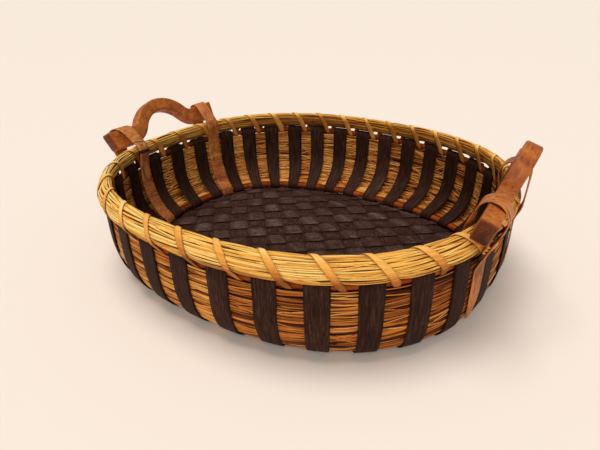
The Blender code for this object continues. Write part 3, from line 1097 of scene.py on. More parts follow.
@dataclass(frozen=True)
class StrawWall:
    """Rows of long straws stacked between the stakes, seen from inside and outside, round a core in the
    darkest tone that paints the shade between them.

    How far a row wanders and ripples, and half of its height, are counted in rows.
    """

    wall: Wall
    layout: Layout
    rows: int = 70
    courses: int = 7
    per_space: int = 6
    sides: int = 6
    seat: float = 0.0003
    wander: float = 0.62
    ripple: float = 0.2
    half_height: float = 0.60
    height_play: float = 0.12
    layer_distance: float = 0.0024
    half_depth: float = 0.00105
    bulge: float = 0.0004
    bulge_play: float = 0.45
    tone: tuple[float, float] = (0.55, 0.26)
    girth: tuple[float, float] = (0.65, 1.15)
    first_girth: tuple[float, float] = (0.8, 1.05)
    first_spaces: tuple[int, int] = (0, 4)
    piece_spaces: tuple[int, int] = (2, 9)
    strays: Mapping[Face, int] = field(default_factory=lambda: {Face.INSIDE: 30, Face.OUTSIDE: 16})
    askew: Mapping[Face, float] = field(default_factory=lambda: {Face.INSIDE: 0.07, Face.OUTSIDE: 0.03})
    stray_radius: float = 0.00060
    stray_girth: tuple[float, float] = (0.7, 1.1)
    stray_span: tuple[float, float] = (0.12, 0.88)
    stray_start: tuple[float, float] = (0.05, 0.93)
    stray_held: tuple[float, float] = (0.06, 0.92)
    stray_ripple: float = 0.0015
    stray_rings: int = 6
    stray_sides: int = 5
    stray_tone: tuple[float, float] = (0.62, 0.25)
    # Stretches of the round made paler (positive) and darker (negative) on each face: inside, painted light
    # on the shaded inner wall at the left end; outside, paler towards the front left, partly painted
    # highlight, and darker at the front.
    patches: Mapping[Face, tuple[tuple[float, float], ...]] = field(
        default_factory=lambda: {Face.INSIDE: ((0.26, 0.44),), Face.OUTSIDE: ((0.24, 0.60), (-0.17, 0.86))}
    )
    space_tone: float = 0.13
    core_foot: float = 0.0045
    core_head: float = 0.0062
    core_half: float = 0.0010
    core_steps: int = 9
    core_per_space: int = 4
    seed: int = 11

    @cached_property
    def space_tones(self) -> Mapping[Face, np.ndarray]:
        """How much paler than the rest the straws are in each space between two stakes."""
        rng = np.random.default_rng(self.seed + 1)
        return {face: rng.normal(0, self.space_tone, len(self.layout.stakes)) for face in Face}

    @property
    def angles(self) -> np.ndarray:
        """The angles of a straw's points, measured from upwards to outwards."""
        return (np.arange(self.sides) * TURN / self.sides)[::-1]

    def straw(self, rng: np.random.Generator, row: int, face: Face) -> tuple[np.ndarray, np.ndarray]:
        """One row of straws.

        Args:
            rng: the source of chance.
            row: the row's number, from the bottom.
            face: the side of the wall.

        Returns:
            The rings, and one shade for each ring.
        """
        share = self.layout.rings(self.per_space)
        length = self.wall.length(share)
        low = (self.wall.hoop_radius + self.seat) / length
        high = 1 - (self.wall.top - self.wall.straw_top) / length
        pitch = (high - low) / self.rows
        index, count = self.layout.index(share), len(self.layout.stakes)
        wander = self.wander * kinked(rng, index, count) + self.ripple * sway(rng, share, 12, 2)
        space = np.abs(np.sin(np.pi * index))
        swell = space**2 + self.bulge_play * sway(rng, share, 20, 6) * space
        at = self.wall.read(share, low + pitch * (row + 0.5 + wander))
        outwards, upwards = at[:, 2:], np.stack([-at[:, 3], at[:, 2]], axis=-1)
        centre = at[:, :2] + outwards * ((self.layer_distance + self.bulge * swell) * face.value)[:, None]
        shade, girth = self.pieces(rng, len(share))
        drift = self.space_tones[face][np.floor(index).astype(int) % count]
        # Painted light inside at the left end, and partly painted highlight outside at the front left.
        patches = sum(amount * patch(share, middle) for amount, middle in self.patches[face])
        tall = pitch * length * self.half_height * girth * (1 + self.height_play * kinked(rng, index, count))
        ring = centre[:, None] + upwards[:, None] * (tall[:, None] * np.cos(self.angles))[..., None]
        ring = ring + outwards[:, None] * (self.half_depth * girth[:, None] * np.sin(self.angles))[..., None]
        return self.wall.oval.place(share[:, None], ring), (shade + drift + patches).clip(0, 1)

    def pieces(self, rng: np.random.Generator, count: int) -> tuple[np.ndarray, np.ndarray]:
        """The straws of one row, which change where one ends behind a stake.

        Args:
            rng: the source of chance.
            count: how many rings the row has.

        Returns:
            The shade and the relative girth at each ring.
        """
        shade, girth = np.empty(count), np.empty(count)
        start = int(rng.integers(*self.first_spaces)) * self.per_space
        shade[:start], girth[:start] = rng.uniform(0, 1), rng.uniform(*self.first_girth)
        for stretch in stretches(rng, start, count, self.per_space, self.piece_spaces):
            shade[stretch] = near_tone(rng, *self.tone)
            girth[stretch] = rng.uniform(*self.girth)
        return shade, girth

    def stray(self, rng: np.random.Generator, space: int, face: Face) -> np.ndarray:
        """A thin straw that lies askew over the rows between two stakes.

        Args:
            rng: the source of chance.
            space: which space, counted from nought.
            face: the side of the wall.

        Returns:
            Its rings.
        """
        part = np.linspace(*self.stray_span, self.stray_rings)
        share = self.layout.share(space + part)
        start, tilt = rng.uniform(*self.stray_start), rng.normal(0, self.askew[face])
        rise = start + tilt * (part - 0.5) * 2 + self.stray_ripple * sway(rng, part, 3)
        distance = self.wall.half_thickness - self.seat + self.seat * np.sin(math.pi * part)
        middle = self.wall.point(share, np.clip(rise, *self.stray_held), distance * face.value)
        radius = self.stray_radius * rng.uniform(*self.stray_girth)
        return self.wall.oval.cord(share, middle, radius, self.stray_sides)

    def core(self) -> Sheaf:
        """The straws that lie hidden in the middle of the wall.

        Returns:
            One sheet in the darkest tone, painted shade that shows between the straws.
        """
        share = self.layout.rings(self.core_per_space)
        length = self.wall.length(share)[:, None]
        low, high = self.core_foot / length, 1 - self.core_head / length
        climb = np.linspace(0, 1, self.core_steps)
        rise = low + (high - low) * np.concatenate([climb, climb[::-1]])
        distance = np.repeat([self.core_half, -self.core_half], self.core_steps)
        sheet = self.wall.point(share[:, None], rise, distance)
        # Painted shade: the core takes the darkest tone so that the gaps between straws look shaded.
        return Sheaf().add(self.wall.oval.place(share[:, None], sheet), 0.0, closed=True)

    def build(self, shop: Shop) -> None:
        """Builds the courses, the strays and the core.

        Args:
            shop: fits the pieces.
        """
        rng = np.random.default_rng(self.seed)
        each = self.rows // self.courses
        for course in range(self.courses):
            sheaf = Sheaf()
            for row in range(course * each, (course + 1) * each):
                for face in Face:
                    rings, shade = self.straw(rng, row, face)
                    # Painted shade: each straw is darker on its side that faces into the wall.
                    sheaf.add(rings, shade, closed=True, depth=(1 - face.value * np.sin(self.angles)) / 2)
            shop.fit(sheaf, f"straw_course_{course + 1}", WALL_STRAW, Slot.STRAW, "straw_wall")
        for face in Face:
            sheaf = Sheaf()
            for space in range(len(self.layout.stakes)):
                for _ in range(self.strays[face]):
                    sheaf.add(self.stray(rng, space, face), near_tone(rng, *self.stray_tone))
            shop.fit(sheaf, f"stray_straws_{face.name.lower()}", WALL_STRAW, Slot.STRAW, "straw_wall")
        shop.fit(self.core(), "straw_core", WALL_STRAW, Slot.STRAW, "straw_wall")


@dataclass(frozen=True)
class Hoops:
    """The two round canes that the stakes bend over, at the foot and the top of the wall."""

    wall: Wall
    layout: Layout
    sides: int = 12
    per_space: int = 8
    uneven: float = 0.03
    lit: float = 0.18
    mottled: float = 0.1
    seed: int = 5

    def build(self, shop: Shop) -> None:
        """Builds both hoops.

        Args:
            shop: fits the pieces.
        """
        rng = np.random.default_rng(self.seed)
        share = self.layout.rings(self.per_space)
        canes = (("top_cane", "top_hoop", 1.0, 0.4), ("bottom_cane", "bottom_hoop", 0.0, 0.42))
        for name, node, rise, shade in canes:
            radius = self.wall.hoop_radius * (1 + self.uneven * sway(rng, share, 14, 5))
            rings = self.wall.oval.cord(share, self.wall.point(share, rise, 0.0), radius, self.sides)
            # Painted light: the canes are lighter towards the right end and darker towards the left.
            tone = shade + self.lit * np.cos(TURN * share) + self.mottled * sway(rng, share, 20, 4)
            shop.fit(Sheaf().add(rings, tone.clip(0, 1), closed=True), name, CANE, Slot.CANE, node)


@dataclass(frozen=True)
class Lashing:
    """The flat strip wound round the rim bundle and the top hoop, a turn for each space between stakes."""

    band: Band
    layout: Layout
    width: float = 0.0058
    thickness: float = 0.0009
    gap: float = 0.0003
    pause: float = 0.45
    open_share: float = 0.25
    painted_edge_shade: float = 0.42
    most_slant: float = 2.2
    width_play: float = 0.10
    tone: float = 0.80
    shaded: float = 0.50
    under: float = 0.92
    most_under: float = 1.4
    lit: float = 0.06
    mottled: float = 0.16
    per_turn: int = 44
    nudge: float = 0.002
    samples: int = 720
    strip: Strip = Strip(5)
    seed: int = 3

    @cached_property
    def bend(self) -> np.ndarray:
        """Even steps through one turn, from the top down the outside."""
        return np.linspace(0, 1, self.samples + 1)

    @cached_property
    def outline(self) -> dict[str, np.ndarray]:
        """One turn of the strip's middle line.

        Returns:
            At each step its points, its normals, its length as a share of the turn, and the measure that
            follows length and bend alike; and the whole length.
        """
        turns = math.pi / 2 - TURN * self.bend
        points = self.band.points(turns, self.gap + self.thickness / 2)
        reached = walked(points)
        length = reached / reached[-1]
        return {
            "points": points,
            "normals": pointing(turns),
            "length": length,
            "measure": (length + self.bend) / 2,
            "whole": reached[-1:],
        }

    def read(self, turn: np.ndarray, key: str) -> np.ndarray:
        """The outline at moments of the winding.

        Args:
            turn: the moments, in turns.
            key: which of the outline's values.

        Returns:
            The values, a number or a row for each moment.
        """
        values = self.outline[key]
        rows = read_off(np.mod(turn, 1), self.outline["measure"], values.reshape(len(values), -1))
        return rows[..., 0] if values.ndim == 1 else rows

    @property
    def bottom(self) -> int:
        """The row of the outline that lies lowest, under the hoop."""
        return int(np.argmin(self.outline["points"][:, 1]))

    def index(self, turn: np.ndarray) -> np.ndarray:
        """Where round the rim a moment lies, in stake numbers: half-way between two when under the hoop."""
        wound = np.floor(turn) + self.read(turn, "length") - self.outline["length"][self.bottom]
        return wound - self.pause * np.sin(TURN * wound) / TURN + 0.5

    def lag(self, normal: np.ndarray) -> np.ndarray:
        """Where, in stake numbers, the strip crosses the part of the rim that faces a direction."""
        bend = np.mod((math.pi / 2 - np.arctan2(normal[..., 1], normal[..., 0])) / TURN, 1)
        return self.index(np.interp(bend, self.bend, self.outline["measure"]))

    def build(self, shop: Shop) -> None:
        """Builds the strip.

        Args:
            shop: fits the piece.
        """
        rng = np.random.default_rng(self.seed)
        turns, around = len(self.layout.stakes) - self.open_share, self.layout.oval.round
        begin = self.outline["measure"][self.bottom] + self.open_share / 2
        moment = begin + np.linspace(0, turns, round(turns * self.per_turn) + 1)
        steps = (-self.nudge, 0, self.nudge)
        before, share, after = (self.layout.share(self.index(moment + step)) for step in steps)
        drop = 2 * self.nudge * self.outline["whole"][0]
        slant = (np.hypot((after - before) * around, drop) / drop).clip(1, self.most_slant)
        wide = self.width / 2 * (1 + self.width_play * sway(rng, share, 40, 20))
        points, normals = self.read(moment, "points"), unit(self.read(moment, "normals"))
        across, out = self.strip.section.T
        aside = (wide * slant)[:, None] * across
        flat = points[:, None] + normals[:, None] * (self.thickness / 2 * out)[:, None]
        # Painted light and shade: the strip is darker where it faces down and a little lighter where it faces
        # inwards, and painted shade darkens its edges.
        under, inner = (self.under - normals[:, 1]).clip(0, self.most_under), (-normals[:, 0]).clip(0, 1)
        tone = self.tone - self.shaded * under + self.lit * inner + self.mottled * sway(rng, share, 30, 8)
        rings = self.layout.oval.place(share[:, None] + aside / around, flat)
        sheaf = Sheaf().add(rings, tone.clip(0, 1), depth=self.strip.edges(self.painted_edge_shade))
        shop.fit(sheaf, "rim_winding", LASHING_STRIP, Slot.LASHING, "rim_lashing")


@dataclass(frozen=True)
class RimBundle:
    """The bundle of long straw stems along the rim, drawn in a little wherever the strip crosses them.

    How far a stem wanders and drifts from its place is counted in stems.
    """

    bundle: Bundle
    layout: Layout
    lashing: Lashing
    stems: int = 40
    per_space: int = 11
    sides: int = 6
    groups: int = 4
    stem_radius: float = 0.00086
    stem_girth: tuple[float, float] = (0.85, 1.15)
    stem_tone: tuple[float, float] = (0.55, 0.28)
    stem_spaces: tuple[int, int] = (4, 14)
    wander: float = 0.62
    drift: float = 0.6
    girth_play: float = 0.14
    lift: float = 0.00035
    pinch: float = 0.0011
    pinch_reach: float = 0.17
    # Paler at the front left and browner at the back, partly the straw's own colour and partly painted light
    # and shade; lit and shaded are painted light on top and painted shade underneath.
    browned_and_shaded: float = 0.35
    brown_and_shade_place: float = 0.25
    paler: float = 0.34
    pale_and_lit_place: float = 0.64
    lit: float = 0.10
    shaded: float = 0.55
    loose_straws: int = 7
    loose_rings: int = 8
    loose_sides: int = 5
    loose_facing: tuple[float, float] = (-0.5, 2.2)
    loose_span: tuple[float, float] = (0.06, 0.94)
    loose_taper: tuple[float, float] = (0.2, 0.8)
    loose_girth: tuple[float, float] = (0.48, 0.74)
    loose_askew: float = 0.16
    loose_bow: float = 0.0006
    loose_seat: float = 0.0003
    loose_tone: tuple[float, float] = (0.6, 0.25)
    core_inset: float = 0.0014
    core_painted_shade: float = 0.4
    core_sides: int = 20
    core_per_space: int = 4
    samples: int = 720
    seed: int = 7

    @cached_property
    def perimeter(self) -> tuple[np.ndarray, np.ndarray]:
        """Angles of the section, and how far round it each lies."""
        angle = np.linspace(0, TURN, self.samples + 1)
        return angle, walked(self.bundle.section(angle))

    def angle_at(self, part: Values) -> np.ndarray:
        """The section's angles at shares of the way round it."""
        angle, reached = self.perimeter
        return np.interp(np.mod(part, 1) * reached[-1], reached, angle)

    def crossing(self, angle: float) -> float:
        """Where in a space the strip crosses the section at an angle of it."""
        return float(self.lashing.lag(self.bundle.normal(np.array([angle])))[0])

    def stem(self, rng: np.random.Generator, number: int) -> tuple[np.ndarray, np.ndarray]:
        """One stem round the whole rim.

        Args:
            rng: the source of chance.
            number: which stem it is.

        Returns:
            The rings, and one shade for each ring.
        """
        share = self.layout.rings(self.per_space)
        index, count = self.layout.index(share), len(self.layout.stakes)
        wound = index - self.crossing(self.angle_at(number / self.stems))
        at = number + self.wander * kinked(rng, wound, count) + self.drift * sway(rng, share, 8, 1)
        angle = self.angle_at(at / self.stems)
        girth = 1 + self.girth_play * kinked(rng, wound, count)
        radius = self.stem_radius * girth * rng.uniform(*self.stem_girth)
        normal = self.bundle.normal(angle)
        gap = np.mod(index - self.lashing.lag(normal) + 0.5, 1) - 0.5
        drawn = self.pinch * np.exp(-((gap / self.pinch_reach) ** 2))
        lifted = self.lift + self.lift * kinked(rng, wound + 0.5, count).clip(-1.5, 1.2)
        centre = self.bundle.section(angle) - normal * (radius - lifted + drawn)[:, None]
        tangent = np.stack([-normal[:, 1], normal[:, 0]], axis=-1)
        ring = pointing(clockwise(self.sides)) @ np.stack([normal, tangent], axis=1)
        # Partly own colour and partly painted light and shade round the rim, then painted light on the stems'
        # upper sides and painted shade on their undersides.
        drift = self.paler * patch(share, self.pale_and_lit_place) - self.browned_and_shaded * patch(share, self.brown_and_shade_place)
        drift = drift + self.lit * normal[:, 1].clip(0) - self.shaded * (-normal[:, 1]).clip(0)
        rings = self.layout.oval.place(share[:, None], centre[:, None] + radius[:, None, None] * ring)
        return rings, (self.shades(rng, len(share)) + drift).clip(0, 1)

    def shades(self, rng: np.random.Generator, count: int) -> np.ndarray:
        """The shades along a stem, which change where the next stem is laid in.

        Args:
            rng: the source of chance.
            count: how many rings the stem has.

        Returns:
            A shade for each ring.
        """
        shade = np.empty(count)
        for stretch in stretches(rng, 0, count, self.per_space, self.stem_spaces):
            shade[stretch] = near_tone(rng, *self.stem_tone)
        return shade

    def loose(self, rng: np.random.Generator, space: int) -> np.ndarray:
        """A thin straw that bows off the bundle between two turns of the strip.

        Args:
            rng: the source of chance.
            space: which space, counted from nought.

        Returns:
            Its rings.
        """
        facing = rng.uniform(*self.loose_facing)
        part = np.linspace(*self.loose_span, self.loose_rings)
        angle = self.tilted(facing + rng.normal(0, self.loose_askew) * (part - 0.5) * 2)
        share = self.layout.share(space + self.crossing(float(angle.mean())) + part)
        clear = self.loose_bow * np.sin(math.pi * part) - self.loose_seat
        middle = self.bundle.section(angle) + self.bundle.normal(angle) * clear[:, None]
        taper = np.sin(math.pi * np.linspace(*self.loose_taper, self.loose_rings))
        radius = self.stem_radius * rng.uniform(*self.loose_girth) * taper
        return self.layout.oval.cord(share, middle, radius, self.loose_sides)

    def tilted(self, direction: np.ndarray) -> np.ndarray:
        """The angle of the section at which its point lies in a direction from outwards to upwards."""
        return direction - math.pi / 2 - self.bundle.tilt

    def core(self) -> Sheaf:
        """The stems hidden in the middle.

        Returns:
            One ring in the darkest tone, with painted shade, that shows between the stems.
        """
        share = self.layout.rings(self.core_per_space)
        angle = np.linspace(0, TURN, self.core_sides, endpoint=False)[::-1]
        rings = self.layout.oval.place(share[:, None], self.bundle.section(angle, self.core_inset))
        # Painted shade: the core takes the darkest tone so that the gaps between stems look shaded.
        return Sheaf().add(rings, 0.0, closed=True, depth=self.core_painted_shade)

    def build(self, shop: Shop) -> None:
        """Builds the stems in groups, the loose straws and the core.

        Args:
            shop: fits the pieces.
        """
        rng = np.random.default_rng(self.seed)
        groups = [Sheaf() for _ in range(self.groups)]
        # Painted shade: each stem is darker on its side that faces into the bundle.
        depth = (1 - np.cos(clockwise(self.sides))) / 2
        for number in range(self.stems):
            rings, shade = self.stem(rng, number)
            groups[number * self.groups // self.stems].add(rings, shade, closed=True, depth=depth)
        for number, sheaf in enumerate(groups, 1):
            shop.fit(sheaf, f"rim_stems_{number}", RIM_STRAW, Slot.RIM, "rim_bundle")
        sheaf = Sheaf()
        for space in range(len(self.layout.stakes)):
            for _ in range(self.loose_straws):
                sheaf.add(self.loose(rng, space), near_tone(rng, *self.loose_tone))
        shop.fit(sheaf, "rim_loose_straws", RIM_STRAW, Slot.RIM, "rim_bundle")
        shop.fit(self.core(), "rim_core", RIM_STRAW, Slot.RIM, "rim_bundle")


@dataclass(frozen=True)
class Splints:
    """What stakes and straps share: flat strips that lie on the wall, square to the rim."""

    wall: Wall
    layout: Layout
    band: Band
    floor_top: float = 0.0023
    clearance: float = 0.0003
    bridge: float = 0.44
    leg_points: int = 60
    rise_points: int = 16
    hoop_steps: int = 5
    outer_points: int = 30
    held_foot: tuple[float, float] = (0.10, 0.30)
    held_top: tuple[float, float] = (1.0, 0.88)

    def distance(self, thickness: float, spare: float) -> float:
        """From the wall's middle to the middle of a strip that lies on it."""
        return self.wall.half_thickness + self.clearance + spare + thickness / 2

    def inner_leg(self, share: float, distance: float, shoulder: float, eased: int) -> np.ndarray:
        """The middle line on the inside, from the mat over the bottom hoop and up to a height.

        Args:
            share: where round the rim it runs.
            distance: its distance from the wall's middle.
            shoulder: the height at which it ends.
            eased: how often the bend at the wall's foot is eased.

        Returns:
            Rows of flat points.
        """
        hoop = self.wall.point(share, 0.0, 0.0)
        top = self.wall.rise_to(share, shoulder)
        rise = self.wall.point(share, np.linspace(self.bridge * top, top, self.rise_points), -distance)
        reach = rise[0] - hoop
        leaves = math.atan2(reach[1], reach[0]) + math.acos(distance / float(np.linalg.norm(reach)))
        over = arc(hoop, distance, math.pi, leaves, self.hoop_steps)
        foot = np.array([[over[0, 0], self.floor_top + self.clearance]])
        line = evened(np.concatenate([foot, over, rise]), self.leg_points)
        climb = np.linspace(0, 1, self.leg_points)[:, None]
        free = slope(climb, *self.held_foot) * slope(climb, *self.held_top)
        return line + (softened(line, eased) - line) * free

    def outer_leg(self, share: float, distance: float, shoulder: float, end: float) -> np.ndarray:
        """The middle line on the outside, from a height down to a share of the wall's length."""
        rises = np.linspace(self.wall.rise_to(share, shoulder), end, self.outer_points)
        return self.wall.point(share, rises, distance)

    def bent(
        self,
        rng: np.random.Generator,
        share: float,
        line_at: Callable[[float], np.ndarray],
        widths: np.ndarray,
        thickness: float,
        strip: Strip,
        waver: float,
    ) -> np.ndarray:
        """Lays a strip along a middle line.

        Args:
            rng: the source of chance.
            share: where round the rim its middle lies.
            line_at: gives the middle line, as flat points, at a share of the round.
            widths: the whole width at each of the line's points.
            thickness: the thickness in the middle.
            strip: the section.
            waver: how far the edges wander.

        Returns:
            An array of rings.
        """
        around = self.layout.oval.round
        half = widths.max() / 2 / around
        first, last = line_at(share - half), line_at(share + half)
        across, out = strip.section.T
        along = np.linspace(0, 1, len(first))
        edges = [widths / 2 + waver * sway(rng, along, 5, 1) for _ in range(2)]
        aside = np.where(across > 0, edges[0][:, None], edges[1][:, None]) * across
        aside = aside + (waver * sway(rng, along, 4, 1))[:, None]
        part = (aside / around / half + 1)[..., None] / 2
        lift = -line_normals((first + last) / 2)[:, None] * (thickness / 2 * out)[:, None]
        flat = first[:, None] * (1 - part) + last[:, None] * part + lift
        return self.layout.oval.place(share + aside / around, flat)


@dataclass(frozen=True)
class Stakes:
    """The dark splint stakes, each bent like a hairpin over the top hoop."""

    splints: Splints
    width: float = 0.0206
    foot_width: float = 0.0186
    narrowing_power: float = 2.2
    thickness: float = 0.0016
    play: float = 0.0003
    waver: float = 0.00028
    painted_edge_shade: float = 0.44
    eased: int = 150
    tones: tuple[float, float] = (0.2, 0.8)
    crown_steps: int = 12
    points: int = 70
    strip: Strip = Strip(7)
    seed: int = 21

    def line(self, share: float) -> np.ndarray:
        """A stake's middle line: up the inside, over the top hoop, and down the outside to the mat's edge.

        Args:
            share: where round the rim it runs.

        Returns:
            Rows of flat points.
        """
        wall, distance = self.splints.wall, self.splints.distance(self.thickness, self.play)
        shoulder = wall.top - wall.hoop_radius
        inside = self.splints.inner_leg(share, distance, shoulder, self.eased)
        outside = self.splints.outer_leg(share, distance, shoulder, 0.0)
        crown = arc((-wall.inset, wall.top), distance, math.pi, 0, self.crown_steps)
        return evened(np.concatenate([inside, crown, outside]), self.points)

    def build(self, shop: Shop) -> None:
        """Builds every stake.

        Args:
            shop: fits the pieces.
        """
        rng = np.random.default_rng(self.seed)
        narrowing = np.abs(np.linspace(-1, 1, self.points)) ** self.narrowing_power
        widths = self.width - (self.width - self.foot_width) * narrowing
        for number, share in enumerate(self.splints.layout.stakes, 1):
            rings = self.splints.bent(rng, share, self.line, widths, self.thickness, self.strip, self.waver)
            # Painted shade along the stake's edges.
            sheaf = Sheaf().add(rings, rng.uniform(*self.tones), depth=self.strip.edges(self.painted_edge_shade))
            shop.fit(sheaf, f"splint_{number:02d}", DARK_SPLINT, Slot.SPLINT, f"stake_{number:02d}")


@dataclass(frozen=True)
class Ply:
    """One of the floor's two sets of splints.

    The under_shade is painted shade where a splint goes under its neighbours, and the rim painted shade at
    its edges.
    """

    name: str
    turn: float
    tone: float
    under_shade: float
    rim: float
    raised: float


@dataclass(frozen=True)
class WovenFloor:
    """The floor mat, woven slantwise from flat splints, over one and under one, and cut to the oval."""

    wall: Wall
    top: float = 0.0023
    pitch: float = 0.0226
    plies: tuple[Ply, ...] = (
        Ply("floor_weft", math.radians(42), tone=0.60, under_shade=0.25, rim=0.30, raised=0.00022),
        Ply("floor_warp", math.radians(132), tone=0.44, under_shade=0.80, rim=0.08, raised=-0.00022),
    )
    gap: float = 0.0004
    thickness: float = 0.0006
    wave: float = 0.00055
    snap: float = 2.2
    steps_per_pitch: int = 7
    width_play: float = 0.03
    tone_play: float = 0.07
    tone_swing: float = 0.16
    edge_inset: float = 0.0004
    margin: float = 0.0002
    least: float = 0.0015
    fewest: int = 8
    samples: int = 720
    splint: Strip = Strip(6)
    seed: int = 17

    @cached_property
    def outline(self) -> np.ndarray:
        """The mat's edge, as rows of x, y."""
        share = np.arange(self.samples) / self.samples
        return self.wall.oval.place(share, self.wall.read(share, 0.0)[:, :2] - [self.edge_inset, 0])[:, :2]

    def crossings(self, across: np.ndarray, turn: float) -> tuple[np.ndarray, np.ndarray]:
        """Where lines across the mat enter and leave it.

        Args:
            across: how far each line lies from the middle.
            turn: the lines' direction.

        Returns:
            The lines' distances, held within the mat, and rows of first and last place along each line.
        """
        cosine, sine = pointing(turn)
        along, aside = self.outline @ [cosine, sine], self.outline @ [-sine, cosine]
        after_along, after_aside = np.roll(along, -1), np.roll(aside, -1)
        held = np.clip(across, aside.min() + self.margin, aside.max() - self.margin)
        ends = []
        for line in held:
            hit = (aside - line) * (after_aside - line) < 0
            part = (line - aside[hit]) / (after_aside[hit] - aside[hit])
            places = along[hit] + part * (after_along[hit] - along[hit])
            ends.append((places.min(), places.max()))
        return held, np.array(ends)

    def strip(self, rng: np.random.Generator, number: int, ply: Ply) -> tuple[np.ndarray, ...] | None:
        """One splint of the weave.

        Args:
            rng: the source of chance.
            number: which splint it is, counted from the middle.
            ply: the set that it belongs to.

        Returns:
            Its rings, their shades and the depths of their points, or None where it misses the mat.
        """
        across, out = self.splint.section.T
        half = (self.pitch - self.gap) / 2 * rng.uniform(1 - self.width_play, 1.0)
        aside, ends = self.crossings((number + 0.5) * self.pitch + across * half, ply.turn)
        if np.ptp(aside) < self.least:
            return None
        spans = ends[:, 1] - ends[:, 0]
        count = max(self.fewest, int(spans.max() / self.pitch * self.steps_per_pitch))
        along = ends[:, 0] + spans * np.linspace(0, 1, count)[:, None]
        swing = np.tanh(self.snap * np.sin(math.pi * along / self.pitch)) / math.tanh(self.snap)
        above = (-1) ** number * swing
        height = self.top / 2 + ply.raised + self.wave * above + self.thickness / 2 * out
        cosine, sine = pointing(ply.turn)
        rings = np.stack([along * cosine - aside * sine, along * sine + aside * cosine, height], axis=-1)
        # Painted shade at the splint's edges and where it dips under its neighbours; the tone_swing paints it
        # lighter where it lies on top and darker where it dives.
        depth = self.splint.edges(ply.rim) + ply.under_shade * (1 - above).clip(0, 1) ** 2
        tone = ply.tone + rng.uniform(-self.tone_play, self.tone_play) + self.tone_swing * above.mean(axis=1)
        return rings, np.clip(tone, 0, 1), depth

    def build(self, shop: Shop) -> None:
        """Builds both sets of splints.

        Args:
            shop: fits the pieces.
        """
        rng = np.random.default_rng(self.seed)
        reach = int(self.wall.oval.length / self.pitch / 2) + 1
        for ply in self.plies:
            sheaf = Sheaf()
            for number in range(-reach, reach):
                strip = self.strip(rng, number, ply)
                if strip is not None:
                    sheaf.add(strip[0], strip[1], depth=strip[2])
            shop.fit(sheaf, ply.name, FLOOR_SPLINT, Slot.FLOOR, "floor_mat")


